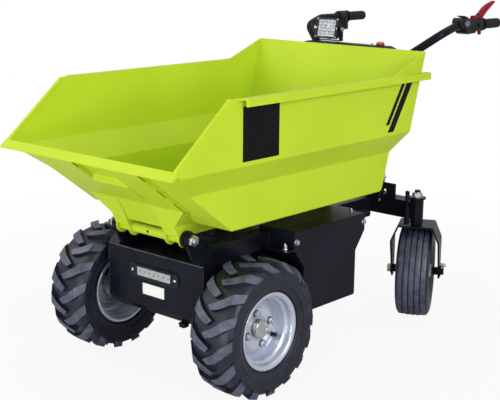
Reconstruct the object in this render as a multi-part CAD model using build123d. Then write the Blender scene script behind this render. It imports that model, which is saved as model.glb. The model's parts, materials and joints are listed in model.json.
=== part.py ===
from build123d import *
import os
from math import asin, atan, atan2, cos, degrees, hypot, pi, radians, sin, sqrt

# Walk-behind site dumper: two driven lug-tyred front wheels, two swivel casters behind,
# a folded sheet hopper that tips forward about a low front pivot, and handlebars.
# Millimetres, +Z up, the ground at Z 0. The front faces -Y and the machine's left is +X.
# Heights are from the ground. Places along Y are from the front axle and moved by axle_y.

# ---------------------------------------------------------------- driving dimensions
lip_overhang = 371          # front axle to the hopper's lip
wheelbase = 880             # front axle to the casters' king pins
grip_overhang = 445         # king pins to the rear ends of the grips
track = 610                 # between the middles of the front tyres
caster_track = 546          # between the king pins

front_tyre_d = 406          # over the lugs
front_tyre_w = 160
lug_height = 14
lugs_per_row = 16
lug_sweep = 58              # how far a lug's bend lies round the tread from its outer end
lug_hook = 12               # how far its hooked inner end goes on round the tread
lug_bar = 32                # its thickness round the tread
lug_cross = 14              # how far its inner end crosses the tread's middle
front_lug_bend = 34         # middle of the tread to a lug's bend
lug_root = 6                # how deep a lug's foot is let into the carcass
lug_side = 4                # how far the lugs stand out past the sidewalls
lug_phase = 52.2            # where the first lug's middle lies, from the top to the front
tread_ratios = [0.36, 0.76, 1.0, 1.0]   # places across a lug's top, over half the width
tread_drops = [0, 4, 17, 44]            # its depth under the tip there
# a carcass's side: place across over half its width, and up over its height
carcass_ratios = [(0.96, 0.42), (1.0, 0.62), (0.92, 0.85), (0.7, 1.0)]
tyre_sides = 48             # flat sides round a tyre
flange_gap = 2              # rim flange to the tyre's side
front_rim_d = 228           # over the rim's flanges
front_rim_w = 130
bead_depth = 11             # flange height over the bead seat
rim_sheet = 4
rim_well = 9                # depth of the drop centre
front_well_half = 34        # half width of its floor
dish_r = 72                 # flat middle of the disc
dish_foot = 2               # wheel's middle to where the disc meets the barrel
disc_offset = 17            # wheel's middle to the outer face of its disc
disc_t = 5
bolt_circle = 98
bolts_per_wheel = 4
bolt_phase = 15
stud_d = 12
nut_across = 18
nut_h = 9
pad_t = 3                   # raised pads that join the nuts in pairs
hub_drum_r = 42
hub_flange_r = 60
hub_cap_r = 23.5
hub_reach = 30              # wheel's middle to the hub cap's face
hub_back = 46               # wheel's middle to the inner end of the hub
hub_flange_t = 10
hub_taper = 5
hub_floor = 10              # wheel's middle to the end of the hub's bore
hub_gap = 5                 # hub to the axle tube's shoulder
axle_flange_r = 34
axle_flange_t = 8
spindle_d = 30
axle_tube_d = 36

caster_tyre_d = 320
caster_tyre_w = 115
caster_rim_d = 168
caster_rim_w = 86
caster_well = 8
caster_well_half = 18
caster_hub_d = 46
caster_hub_w = 104
caster_bolt_d = 20
caster_trail = 55
caster_angle = 27.6         # how far each caster stands turned inwards at rest
fork_half = 84              # king pin to the outer face of a fork leg
fork_flat = 60              # half width of the fork's level top
fork_drop = 56              # fork's top to the bends of its legs
fork_t = 6
fork_front = 38             # king pin to the front edge of the fork's top
fork_rear = 78
fork_foot = 14              # half width of a leg's foot
fork_eye = 26               # half width of a leg at the axle
fork_under = 24             # axle to a leg's lower end
thrust_r = 18
bolt_head_across = 30
bolt_head_t = 10
caster_washer_r = 20
spacer_r = 14
spacer_gap = 4              # spacers to the hub tube
fork_gap = 5                # fork to the king pin housing

sheet = 4                   # hopper sheet
hopper_w = 700              # over the upper side walls
trough_w = 576              # over the lower side walls
floor_z = 492               # underside of the hopper's floor
trough_z = 619              # lower fold of the side walls
shoulder_z = 690            # upper fold of the side walls
rim_z = 874                 # top of the side walls
guard_z = 939               # top of the rear guard
lip_z = 705.5               # underside of the chute at the lip
floor_front = -70           # where the floor meets the chute
guard_gap = 31              # rear guard's top to the console
rear_slope = 0.293          # rearward lean of the rear wall
rim_front = -148            # front end of the level top edge
wing_l = 172                # run of the rear guard's wings
lip_proud = 3.5             # how far the lip stands out past each side wall
lip_reach = 16              # the lip's front to the end of the chute's sheet
lip_fall = 13               # the lip's upper edge under that end
lip_t = 5
lip_round = 1               # bevel of its front corner
edge_proud = 1              # how far the edge flanges stand out
edge_flange = 11            # inward flange along the open front edges
edge_fold_t = 3
rim_flange = 22             # outward flange along the side walls' tops
rim_overrun = 22            # how far that flange runs on behind the rear wall
bend_r = 8                  # outside radius of the sheet's folds
floor_bend_r = 24

pivot_y = -100
pivot_z = 450
pivot_pin_d = 20
pivot_tube_d = 32
pivot_nut_across = 30
pivot_nut_h = 13
washer_t = 3
washer_r = 20
lobe_r = 26
channel_w = 58              # over the two plates of a channel, at the lobes
channel_spread = 61         # how much further out its outer plate stands under the chute
flare_z = 548               # where the outer plate stands upright again
channel_plate = 4
web_drop = 14               # the webs' depth under the chute
web_bend = -172             # where the webs turn down to the lobes
channel_set = 10            # chute's end to the front ends of the channels
runner_h = 34               # depth of the channels under the floor
runner_set = 50             # rear wall's foot to the rear ends of the channels
brace_front = -262          # upper end of the web between the channels
brace_band = 60             # thicker band along that end
brace_low = 478             # height of its lower edge
brace_foot = -128           # place of that edge
lobe_rise = 8               # pivot to the lower ends of the front webs
tube_proud = 1.5
pin_thread = 6              # bare thread beyond a nut
brace_proud = 3

rail_w = 45
rail_top = 430
rail_level = -45            # where a rail's sloped nose reaches its full height
ear_t = 10
ear_r = 22
ear_foot = 20               # rail's full height to the ears' rear feet
ear_set = 9                 # box's front to the ears' lower front corners
boss_r = 25                 # spacer between an ear and the outer lobe
boss_l = 10
lobe_gap = 3                # that spacer to the lobe
member_w = 40
member_front = 20           # cross members between the side rails
member_set = 30             # channels' rear ends to the rear member
tail_in = 60                # the two rails from the rear member to the crossbar
tail_out = 100
tail_bottom = 342
tail_top = 412

box_w = 400                 # housing between the front wheels
box_front = -97
box_rear = 100
box_bottom = 183
box_top = 380
box_fold = 28
box_bend_r = 5
case_bottom = 186
cover_out = 297             # middle to the outer face of a side cover
cover_in = 158
cover_top = 442
cover_front = 190
cover_set = 18              # rear member to the covers' rear ends
cover_step = 46             # run of the chamfers at the covers' ends
cover_lip = 55              # top edge to the upper end of those chamfers
cover_chamfer = 59          # height of the chamfers
cover_bend_r = 6
buffer_r = 11
buffer_set = 31             # channel's inner plate to the buffers

bar = 60                    # rear crossbar, square
bar_top = 420
housing_r = 22
housing_h = 85
housing_rise = 7            # housing's top over the crossbar
cap_r = 29
cap_t = 6
king_pin_d = 20
king_pin_rise = 24
king_nut_across = 30
king_nut_h = 14
lock_tube_d = 19
lock_pin_d = 8
lock_knob_r = 7.5
lock_drop = 15              # crossbar's top to the tops of the lock tubes
lock_rise = 20              # lock tube's top to its knob
lock_knob_h = 32
lock_slot = 5
lock_slot_h = 15
lock_lift = 20              # how far a pin is drawn up into its tube
lock_inset = 15             # lock tubes' places, inwards from the king pins
lock_sink = 1               # how far a lock tube's wall is let into the crossbar
lug_plate_w = 88            # upright lashing plates on the crossbar
lug_plate_h = 50
lug_plate_t = 6
lug_plate_x = 154
lug_plate_set = 4           # crossbar's front face to the plates
lashing_hole_d = 20
lashing_hole_z = 18         # above the crossbar

upright_x = 120
bar_d = 28                  # handlebar tube
bend_z = 850
elbow_in = 5                # grips to the middle of the upper bends
elbow_reach = 88            # king pins to the upper bends
elbow_z = 980
grip_out = 17               # king pins to the grips, across
grip_z = 1002
grip_d = 34
grip_l = 112
grip_wall = 6               # closed end
grip_round = 4
grip_collar = 5             # raised ring at a grip's inner end
grip_collar_l = 8
splay_y = 165               # king pins to the start of the grips' straights
handle_bend_r = 50
right_short = 14            # how much sooner the right grip ends
foot_half = 30              # feet of the uprights
foot_front = 19
foot_rear = 26
foot_t = 8
cross_tube_d = 24
cross_drop = 60             # bends to the cross tube
spine_half = 60             # plate between the cross tube and the console
spine_t = 8

console_w = 368
console_reach = 78          # king pins to the console's front
console_depth = 78
console_z = 880
console_h = 60
console_tray = 8
console_slope = 30          # run of the operator's sloped face
console_face = 35
console_bevel = 20
console_drop = 12
console_bend_r = 4
button_x = 125
button_y = 38               # console's front to the button's middle
button_r = 14
button_h = 12
lamp_w = 98
lamp_h = 72
lamp_frame_t = 8            # front frame, wider than the finned body behind it
lamp_body_w = 76
lamp_body_h = 58
lamp_d = 32
lamp_pin_r = 6
lamp_x = -117
lamp_reach = 24             # king pins to the lamp's face
lamp_rise = 44              # console's top to the lamp's middle
lamp_tilt = 12
lamp_frame = 12
fins = 8
fin_gap = 4
fin_depth = 14
stirrup_t = 3
stirrup_w = 20
stirrup_h = 50
stirrup_set = 6
stirrup_gap = 2             # its arms' inner faces to the lamp
lever_root = 149            # a grip's rear end to the brake lever's root
lever_t = 12
# side of the lever from its root, in (along Y, up)
lever_side = [(-30, 0), (36, 0), (65, 22), (114, 50), (117, 55), (107, 57), (73, 48), (40, 35), (6, 10),
              (-30, 10)]
perch_l = 55                # lever's perch behind the switch cluster
perch_half = 17
perch_high = 22
perch_low = 24
perch_lap = 12
cluster_reach = 190         # king pins to the switch cluster
cluster_l = 92
cluster_half = 24
cluster_low = 26
cluster_high = 19.5
collar_reach = 270          # king pins to the throttle collar
collar_l = 36
collar_r = 21
switch_box_set = 14
switch_box_l = 34
switch_box_half = 13
switch_box_low = 48
bar_light_w = 208           # light bar's backing plate
bar_light_h = 44
bar_light_t = 4
bar_light_z = 315
bar_hood = 4
bar_hood_t = 3
bar_lens_w = 142
bar_lens_h = 27

running_fit = 0.05          # radial clearance of pins that turn
seat_gap = 0.3              # between curved faces that seat on each other
glass_gap = 0.5             # around a lens in its frame
stop_gap = 1.0              # hopper to its rubber buffers

# ---------------------------------------------------------------- derived places
axle_y = (lip_overhang - wheelbase - grip_overhang) / 2
king_y = wheelbase
grip_end = king_y + grip_overhang
axle_z = front_tyre_d / 2
caster_z = caster_tyre_d / 2
wheel_x = track / 2
pin_x = caster_track / 2
bar_front = king_y - bar / 2
housing_top = bar_top + housing_rise
housing_low = housing_top - housing_h
cap_top = housing_top + cap_t
lock_y = bar_front - lock_tube_d / 2 + lock_sink
lock_x = pin_x - lock_inset
fork_top = housing_low - fork_gap
console_front = king_y - console_reach
console_top = console_z + console_h
lamp_y = king_y - lamp_reach
lip_y = -lip_overhang + lip_reach
chute_slope = (lip_z - floor_z) / (floor_front - lip_y)
chute_angle = degrees(atan(chute_slope))
guard_y = console_front - guard_gap
floor_rear = guard_y - rear_slope * (guard_z - floor_z)
rear_top_y = floor_rear + rear_slope * (rim_z - floor_z)
wing_front = guard_y - wing_l
channel_front = lip_y + channel_set
runner_end = floor_rear - runner_set
member_rear = runner_end - member_set
cover_rear = member_rear - cover_set
rail_out = box_w / 2
rail_in = rail_out - rail_w
ear_x = rail_in - ear_t
channel_out = ear_x - boss_l - lobe_gap
channel_in = channel_out - channel_w
channel_flare = channel_out + channel_spread
buffer_x = channel_in + buffer_set
lock_top = bar_top - lock_drop
grip_x = pin_x + grip_out
right_end = grip_end - right_short


# ---------------------------------------------------------------- helpers
def strip(points, thickness):
    """Outline of a folded strip: a line of points and the same line moved to its left."""
    normals = []
    for (ax, ay), (bx, by) in zip(points, points[1:]):
        run = hypot(bx - ax, by - ay)
        normals.append((-(by - ay) / run, (bx - ax) / run))
    moved = []
    for i, (px, py) in enumerate(points):
        ax, ay = normals[max(i - 1, 0)]
        bx, by = normals[min(i, len(normals) - 1)]
        scale = thickness / (1 + ax * bx + ay * by)
        moved.append((px + (ax + bx) * scale, py + (ay + by) * scale))
    return points + moved[::-1]


def side_prism(points, x_from, x_to, radius=0):
    """Outline in (y, z) drawn on the side view, run from x_from to x_to."""
    face = make_face(Polyline(*points, close=True))
    if radius:
        face = fillet(face.vertices(), radius)
    solid = extrude(Plane.YZ * face, x_to - x_from)
    return Pos(x_from, 0, 0) * solid


def front_prism(points, y_from, y_to):
    """Outline in (x, z) drawn on the front view, run from y_from to y_to."""
    face = make_face(Polyline(*points, close=True))
    solid = extrude(Plane.XZ * face, -(y_to - y_from))
    return Pos(0, y_from, 0) * solid


def plan_prism(points, z_from, z_to):
    """Outline in (x, y) drawn on the plan, run from z_from to z_to."""
    face = make_face(Polyline(*points, close=True))
    return Pos(0, 0, z_from) * extrude(face, z_to - z_from)


def block(x_from, x_to, y_from, y_to, z_from, z_to):
    """Box between two values on each axis."""
    size = (x_to - x_from, y_to - y_from, z_to - z_from)
    middle = ((x_from + x_to) / 2, (y_from + y_to) / 2, (z_from + z_to) / 2)
    return Pos(*middle) * Box(*size)


def rod_x(x_from, x_to, y, z, radius):
    """Cylinder along X."""
    return Pos((x_from + x_to) / 2, y, z) * Rot(0, 90, 0) * Cylinder(radius, x_to - x_from)


def rod_y(x, y_from, y_to, z, radius):
    """Cylinder along Y."""
    return Pos(x, (y_from + y_to) / 2, z) * Rot(90, 0, 0) * Cylinder(radius, y_to - y_from)


def rod_z(x, y, z_from, z_to, radius):
    """Cylinder along Z."""
    return Pos(x, y, (z_from + z_to) / 2) * Cylinder(radius, z_to - z_from)


def nut_x(x_from, height, y, z, across):
    """Hexagon nut along X."""
    outline = RegularPolygon(across / 2, 6, major_radius=False)
    return Pos(x_from, y, z) * extrude(Plane.YZ * outline, height)


def turned(points):
    """Solid of revolution about X from an outline in (x, radius)."""
    face = make_face(Polyline(*points, close=True))
    return revolve(face, Axis.X, 360)


def faceted(points, sides):
    """Ring about X with flat sides, from an outline in (x, radius)."""
    corners = []
    for i in range(sides):
        angle = 2 * pi * i / sides
        corners.append([(x, r * sin(angle), r * cos(angle)) for x, r in points])
    faces = []
    for i in range(sides):
        near, far = corners[i - 1], corners[i]
        for j in range(len(points)):
            wire = Wire.make_polygon([near[j - 1], near[j], far[j], far[j - 1]])
            faces.append(Face(wire))
    return Solid(Shell(faces))


def move_edges(points, insets):
    """Polygon, drawn anticlockwise, with edge i (from point i) moved inwards by insets[i]."""
    lines = []
    for i, (ax, ay) in enumerate(points):
        bx, by = points[(i + 1) % len(points)]
        run = hypot(bx - ax, by - ay)
        nx, ny = -(by - ay) / run, (bx - ax) / run
        lines.append((nx, ny, nx * ax + ny * ay + insets[i]))
    moved = []
    for i in range(len(points)):
        a1, b1, c1 = lines[i - 1]
        a2, b2, c2 = lines[i]
        det = a1 * b2 - a2 * b1
        moved.append(((c1 * b2 - c2 * b1) / det, (a1 * c2 - a2 * c1) / det))
    return moved


def both_sides(solid):
    """A left-hand solid and its mirror image."""
    return [solid, mirror(solid, Plane.YZ)]


def write(node, shape):
    """One STEP file, moved from the axle's frame to the part's own."""
    solids = shape if isinstance(shape, list) else [shape]
    moved = [Pos(0, axle_y, 0) * item for item in solids]
    export_step(moved[0] if len(moved) == 1 else Compound(children=moved), f"parts/{node}.step")


# ---------------------------------------------------------------- hopper
# Side view, anticlockwise seen from +X (y right, z up): floor, rear wall, top edge,
# open front edge, chute.
hopper_side = [
    (floor_front, floor_z),
    (floor_rear, floor_z),
    (rear_top_y, rim_z),
    (rim_front, rim_z),
    (lip_y, lip_z),
]
open_edge = -60
side_insets = [sheet, sheet, open_edge, open_edge, sheet]

# Front view, anticlockwise seen from the front (x right, z up).
half_w = hopper_w / 2
half_trough = trough_w / 2
hopper_front = [
    (-half_trough, floor_z),
    (half_trough, floor_z),
    (half_trough, trough_z),
    (half_w, shoulder_z),
    (half_w, rim_z),
    (-half_w, rim_z),
    (-half_w, shoulder_z),
    (-half_trough, trough_z),
]
front_insets = [sheet, sheet, sheet, sheet, open_edge, sheet, sheet, sheet]


def folded_body(side_points, front_points, floor_radius, radius):
    """Body common to a side outline and a front outline, with rounded folds."""
    low_y = min(p[0] for p in side_points)
    high_y = max(p[0] for p in side_points)
    side_face = make_face(Polyline(*side_points, close=True))
    floor_corners = side_face.vertices().sort_by(Axis.Y)[:2]
    side_face = fillet(floor_corners, floor_radius)
    front_face = make_face(Polyline(*front_points, close=True))
    folds = front_face.vertices().sort_by(Axis.Y)[:6]
    front_face = fillet(folds, radius)
    across = extrude(Plane.YZ * side_face, hopper_w, both=True)
    along = Pos(0, low_y, 0) * extrude(Plane.XZ * front_face, -(high_y - low_y))
    return across & along


def hopper_tub():
    """Folded sheet tub: chute, floor, sloped rear wall, stepped side walls, framed mouth."""
    outer = folded_body(hopper_side, hopper_front, floor_bend_r, bend_r)
    inner_side = move_edges(hopper_side, side_insets)
    inner_front = move_edges(hopper_front, front_insets)
    tub = outer - folded_body(inner_side, inner_front, floor_bend_r - sheet, bend_r - sheet)
    # inward flanges along the open front edges of the side walls, a little proud of them
    rise = (rim_z - lip_z) / (rim_front - lip_y)
    start = (lip_y + edge_proud * 2, lip_z + edge_proud * 2 * rise)
    end = (rim_front, rim_z)
    under = edge_fold_t
    edge = [(start[0] - edge_proud * rise, start[1] + edge_proud),
            (start[0] + under * rise, start[1] - under),
            (end[0] + under * rise, end[1] - under),
            (end[0] - edge_proud * rise, end[1] + edge_proud)]
    for flange in both_sides(side_prism(edge, half_w - edge_flange, half_w - edge_proud)):
        tub += flange
    # the lip: the chute's front edge folded down square to the open edges' slope
    foot_z = lip_z - lip_fall
    nose = [(-lip_overhang, foot_z), (lip_y + lip_t, lip_z + lip_t * rise + edge_proud / 2),
            (lip_y + 2 * lip_t, lip_z - lip_t * 1.5), (lip_t - lip_overhang, foot_z - lip_t - lip_round),
            (lip_round - lip_overhang, foot_z - lip_t)]
    tub += side_prism(nose, -half_w - lip_proud, half_w + lip_proud)
    return tub


def hopper_rims():
    """Outward folded flanges along the tops of the side walls, angle-cut in front."""
    rear = rear_top_y + rim_overrun
    front = rim_front + rim_flange
    outer = half_w + rim_flange
    angle = strip([(half_w, rim_z), (outer, rim_z), (outer, rim_z - rim_flange)], -sheet)
    cut = plan_prism([(half_w, front), (outer, front), (outer, front + rim_flange)], 0, 2 * rim_z)
    return both_sides(front_prism(angle, front, rear) - cut)


def rear_guard():
    """Raised back plate with two triangular wings that run down to the side rims."""
    low = (rear_top_y, rim_z)
    high = (guard_y, guard_z)
    plate = side_prism([low, high, (high[0] - sheet, high[1]), (low[0] - sheet, low[1])],
                       -half_w, half_w)
    wing = side_prism([(wing_front, rim_z), low, high], half_w - sheet, half_w)
    guard = plate
    for side in both_sides(wing):
        guard += side
    return guard


def chute_z(y, drop=0):
    """Height of the chute's underside at y, or drop below it measured squarely."""
    return floor_z + (floor_front - y) * chute_slope - drop / cos(radians(chute_angle))


def under_hopper():
    """Space right under the chute and the floor, in which the channels lie."""
    return side_prism([(channel_front, 0), (channel_front, chute_z(channel_front)),
                       (floor_front, floor_z), (runner_end, floor_z), (runner_end, 0)],
                      -half_w, half_w)


def tilt_channels():
    """Two channels that carry the hopper: lobed at the pivot, flared under the chute, and
    run back under the floor as its runners."""
    low, high = pivot_z - 2 * lobe_r, lip_z
    knee = pivot_y - lobe_r
    runner_z = floor_z - runner_h
    front_line = [(channel_front, high), (channel_front, chute_z(channel_front, web_drop)),
                  (web_bend, chute_z(web_bend, web_drop)), (knee, pivot_z + lobe_rise)]
    floor_line = [(knee + runner_h + lobe_r, runner_z), (runner_end, runner_z)]
    side = front_line + [(knee, pivot_z), (pivot_y + lobe_r, pivot_z)] + floor_line
    side.append((runner_end, high))
    lobe = rod_x(0, half_w, pivot_y, pivot_z, lobe_r)
    wall = side_prism(side, 0, half_w) & under_hopper()
    wall += lobe
    # plates and webs drawn on the front view and on the side view
    outer_line = [(channel_out, low), (channel_out, floor_z), (channel_flare, flare_z),
                  (channel_flare, high)]
    inner_line = [(channel_in, low), (channel_in, high)]
    span = (channel_front, runner_end)
    plates = front_prism(strip(outer_line, channel_plate), *span)
    plates += front_prism(strip(inner_line, -channel_plate), *span)
    between = front_prism(outer_line + inner_line[::-1], *span)
    webs = side_prism(strip(front_line, channel_plate), 0, half_w)
    webs += side_prism(strip(floor_line, channel_plate), 0, half_w)
    channel = (wall & plates) + (wall & webs & between)
    return both_sides(channel - rod_x(0, half_w, pivot_y, pivot_z, pivot_tube_d / 2))


def pivot_tube():
    """Cross tube through the channels' lobes, bored for the pivot pin."""
    half = channel_out + tube_proud
    tube = rod_x(-half, half, pivot_y, pivot_z, pivot_tube_d / 2)
    return tube - rod_x(-half, half, pivot_y, pivot_z, pivot_pin_d / 2 + running_fit)


def chute_brace():
    """Folded web under the chute between the two channels, with a thicker upper band."""
    line = [(brace_front, lip_z), (brace_front, chute_z(brace_front, web_drop)),
            (web_bend, chute_z(web_bend, web_drop)), (brace_foot, brace_low)]
    web = side_prism(strip(line, channel_plate), -channel_in, channel_in)
    rear = brace_front + brace_band
    band = side_prism([(brace_front, chute_z(brace_front, web_drop)),
                       (brace_front, chute_z(brace_front, web_drop + brace_proud)),
                       (rear, chute_z(rear, web_drop + brace_proud)), (rear, chute_z(rear, web_drop))],
                      -channel_in, channel_in)
    return (web & under_hopper()) + band


# ---------------------------------------------------------------- chassis
def pivot_ear():
    """Left ear: a plate on the rail's inner face with its spacer to the hopper's lobe."""
    foot = (rail_level + ear_foot, rail_top)
    run, climb = pivot_y - foot[0], pivot_z - foot[1]
    lean = atan2(climb, run) - asin(ear_r / hypot(run, climb))
    touch = sqrt(run ** 2 + climb ** 2 - ear_r ** 2)
    top = (foot[0] + touch * cos(lean), foot[1] + touch * sin(lean))
    outline = [(pivot_y - ear_r, pivot_z), (box_front + ear_set, box_top), (foot[0], box_top),
               foot, top, (pivot_y, pivot_z)]
    ear = side_prism(outline, ear_x, rail_in)
    ear += rod_x(ear_x, rail_in, pivot_y, pivot_z, ear_r)
    ear += rod_x(ear_x - boss_l, ear_x, pivot_y, pivot_z, boss_r)
    return ear - rod_x(0, rail_in + ear_t, pivot_y, pivot_z, pivot_pin_d / 2 + running_fit)


def main_frame():
    """Side rails with sloped noses, cross members, tail rails and the pivot ears, welded."""
    back = member_rear + member_w
    nose = [(box_front, box_top), (back, box_top), (back, rail_top), (rail_level, rail_top)]
    rail = side_prism(nose, rail_in, rail_out)
    tail = block(tail_in, tail_out, back, bar_front, tail_bottom, tail_top)
    frame = block(-rail_in, rail_in, member_rear, back, tail_bottom, rail_top)
    frame += block(-rail_in, rail_in, member_front, member_front + member_w, box_top, rail_top)
    for piece in both_sides(rail) + both_sides(tail) + both_sides(pivot_ear()):
        frame += piece
    return frame


def pivot_pin():
    """Hopper's pivot pin with a washer and a nut at each end."""
    end = rail_in + washer_t + pivot_nut_h + pin_thread
    pin = rod_x(-end, end, pivot_y, pivot_z, pivot_pin_d / 2)
    nut = rod_x(rail_in, rail_in + washer_t, pivot_y, pivot_z, washer_r)
    nut += nut_x(rail_in + washer_t, pivot_nut_h, pivot_y, pivot_z, pivot_nut_across)
    for piece in both_sides(nut):
        pin += piece
    return pin


def axle_box():
    """Folded housing between the front wheels, with a turned-under lower front edge."""
    outline = [(box_front, box_bottom + box_fold), (box_front + box_fold, box_bottom),
               (box_rear, box_bottom), (box_rear, box_top), (box_front, box_top)]
    return side_prism(outline, -box_w / 2, box_w / 2, box_bend_r)


def axle_stubs():
    """Axle tubes with flanges on the housing's sides and spindles for the wheel hubs."""
    wall = box_w / 2
    tube_end = wheel_x - hub_back - hub_gap
    stub = rod_x(wall, wall + axle_flange_t, 0, axle_z, axle_flange_r)
    stub += rod_x(wall, tube_end, 0, axle_z, axle_tube_d / 2)
    stub += rod_x(wall, wheel_x, 0, axle_z, spindle_d / 2)
    return both_sides(stub)


def battery_case():
    """Closed case under the rails that holds the batteries."""
    return block(-cover_in, cover_in, box_rear, member_rear, case_bottom, box_top)


def side_covers():
    """Bolted covers beside the battery case, chamfered at both ends, cut out for the rails."""
    step_z = cover_top - cover_lip
    low_z = step_z - cover_chamfer
    front, rear = cover_front + cover_step, cover_rear - cover_step
    outline = [(cover_front, cover_top), (cover_front, step_z), (front, low_z),
               (front, box_bottom), (rear, box_bottom), (rear, low_z), (cover_rear, step_z),
               (cover_rear, cover_top)]
    cover = side_prism(outline, cover_in, cover_out, cover_bend_r)
    return both_sides(cover - block(0, rail_out, cover_front, cover_rear, box_top, rail_top))


def hopper_buffers():
    """Rubber buffers on the cross members that the hopper rests on."""
    top = floor_z - runner_h - stop_gap
    buffers = []
    for place in (member_front, member_rear):
        buffers += both_sides(rod_z(buffer_x, place + member_w / 2, rail_top, top, buffer_r))
    return buffers


def rear_crossbar():
    """Square crossbar with a king pin housing and a swivel lock tube at each end."""
    weldment = block(-pin_x, pin_x, bar_front, bar_front + bar, bar_top - bar, bar_top)
    bores = []
    for side in (-1, 1):
        place = (side * pin_x, king_y)
        lock = (side * lock_x, lock_y)
        weldment += rod_z(*place, housing_low, housing_top, housing_r)
        weldment += rod_z(*place, housing_top, cap_top, cap_r)
        weldment += rod_z(*lock, housing_low, lock_top, lock_tube_d / 2)
        bores.append(rod_z(*place, housing_low, cap_top, king_pin_d / 2 + running_fit))
        bores.append(rod_z(*lock, housing_low, lock_top, lock_pin_d / 2 + running_fit))
    for bore in bores:
        weldment -= bore
    return weldment


def lock_pins():
    """Pull pins in the swivel lock tubes, raised, with a forked head."""
    knob_z = lock_top + lock_rise
    head_z = knob_z + lock_knob_h
    reach, half_slot = lock_knob_r, lock_slot / 2
    pin = rod_z(lock_x, lock_y, housing_low + lock_lift, knob_z, lock_pin_d / 2)
    pin += rod_z(lock_x, lock_y, knob_z, head_z, lock_knob_r)
    pin -= block(lock_x - half_slot, lock_x + half_slot, lock_y - reach, lock_y + reach,
                 head_z - lock_slot_h, head_z)
    return both_sides(pin)


def lashing_plates():
    """Upright plates on the crossbar, each with a round lashing hole."""
    low_x, high_x = lug_plate_x - lug_plate_w / 2, lug_plate_x + lug_plate_w / 2
    front, back = bar_front + lug_plate_set, bar_front + lug_plate_set + lug_plate_t
    plate = block(low_x, high_x, front, back, bar_top, bar_top + lug_plate_h)
    hole = rod_y(lug_plate_x, front, back, bar_top + lashing_hole_z, lashing_hole_d / 2)
    return both_sides(plate - hole)


def handlebar_frame():
    """Two tubes up from the crossbar that bend out and back to the grips, with a cross
    tube and a console plate between them."""
    straight_end = king_y + splay_y
    cross_z = bend_z - cross_drop
    plate_z = console_z - console_tray
    frame = rod_x(-upright_x, upright_x, king_y, cross_z, cross_tube_d / 2)
    frame += block(-spine_half, spine_half, king_y - spine_t / 2, king_y + spine_t / 2,
                   cross_z, plate_z)
    frame += block(-upright_x, upright_x, console_front + console_tray, king_y + spine_t / 2,
                   plate_z, console_z)
    for side, end in ((-1, right_end), (1, grip_end)):
        x = side * upright_x
        frame += block(x - foot_half, x + foot_half, king_y - foot_front, king_y + foot_rear,
                       bar_top, bar_top + foot_t)
        path = FilletPolyline((x, king_y, bar_top + foot_t / 2), (x, king_y, bend_z),
                              (side * (grip_x - elbow_in), king_y + elbow_reach, elbow_z),
                              (side * grip_x, straight_end, grip_z),
                              (side * grip_x, end - grip_wall, grip_z),
                              radius=handle_bend_r)
        section = Plane(origin=path @ 0, z_dir=path % 0) * Circle(bar_d / 2)
        frame += sweep(section, path=path)
    return frame


def grips():
    """Rubber grips on the ends of the handlebar tubes."""
    bore, outer, closed = bar_d / 2 + seat_gap, grip_d / 2, grip_l - grip_wall
    outline = [(0, bore), (closed, bore), (closed, 0), (grip_l, 0), (grip_l, outer - grip_round),
               (grip_l - grip_round, outer), (grip_collar_l, outer),
               (grip_collar_l, outer + grip_collar), (0, outer + grip_collar)]
    grip = Rot(0, 0, 90) * turned(outline)
    return [Pos(grip_x, grip_end - grip_l, grip_z) * grip,
            Pos(-grip_x, right_end - grip_l, grip_z) * grip]


def console():
    """Control box behind the hopper with bevelled ends and a sloped operator's face."""
    half = console_w / 2
    back = console_front + console_depth
    outline = [(console_front, console_z), (back, console_z), (back, console_top - console_face),
               (back - console_slope, console_top), (console_front, console_top)]
    body = side_prism(outline, -half, half, console_bend_r)
    end_z = console_top - console_drop
    ends = front_prism([(-half, console_z), (half, console_z), (half, end_z),
                        (half - console_bevel, console_top), (console_bevel - half, console_top),
                        (-half, end_z)], console_front, back)
    return body & ends


def emergency_stop():
    """Mushroom-head emergency stop button on the console."""
    place = Pos(button_x, console_front + button_y, console_top)
    outline = [(0, 0), (0, button_r), (button_h / 2, button_r), (button_h, button_r * 0.7),
               (button_h, 0)]
    return place * Rot(0, -90, 0) * turned(outline)


def work_lamp():
    """Square work lamp with cooling fins, its lens, and the stirrup it hangs in."""
    place = Pos(lamp_x, lamp_y, console_top + lamp_rise) * Rot(-lamp_tilt, 0, 0)
    half_w_in = lamp_body_w / 2
    body = Pos(0, lamp_frame_t / 2, 0) * Box(lamp_w, lamp_frame_t, lamp_h)
    body += Pos(0, lamp_d / 2, 0) * Box(lamp_body_w, lamp_d, lamp_body_h)
    pin_reach = lamp_w / 2 + stirrup_gap
    body += rod_x(-pin_reach, pin_reach, lamp_d / 2, 0, lamp_pin_r)
    window_w, window_h = lamp_w - 2 * lamp_frame, lamp_h - lamp_frame
    body -= Pos(0, fin_gap / 2, 0) * Box(window_w, fin_gap, window_h)
    pitch = lamp_body_w / (fins + 1)
    for i in range(fins):
        slot_x = (i + 1) * pitch - half_w_in
        body -= Pos(slot_x, lamp_d - fin_depth / 2, 0) * Box(fin_gap, fin_depth, lamp_h)
    lens_t = fin_gap - glass_gap
    lens = Pos(0, fin_gap - lens_t / 2, 0) * Box(window_w - glass_gap, lens_t, window_h - glass_gap)
    half = lamp_w / 2 + stirrup_gap + stirrup_t
    low, high = console_top, console_top + stirrup_h
    line = [(lamp_x - half, high), (lamp_x - half, low), (lamp_x + half, low), (lamp_x + half, high)]
    rear = lamp_y + stirrup_set + stirrup_w
    stirrup = front_prism(strip(line, stirrup_t), lamp_y + stirrup_set, rear)
    return place * body, place * lens, stirrup


def brake_lever():
    """Red parking brake lever above the left grip."""
    root_y = grip_end - lever_root
    root_z = grip_z + perch_high
    outline = [(root_y + y, root_z + z) for y, z in lever_side]
    return side_prism(outline, grip_x - lever_t / 2, grip_x + lever_t / 2)


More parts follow.
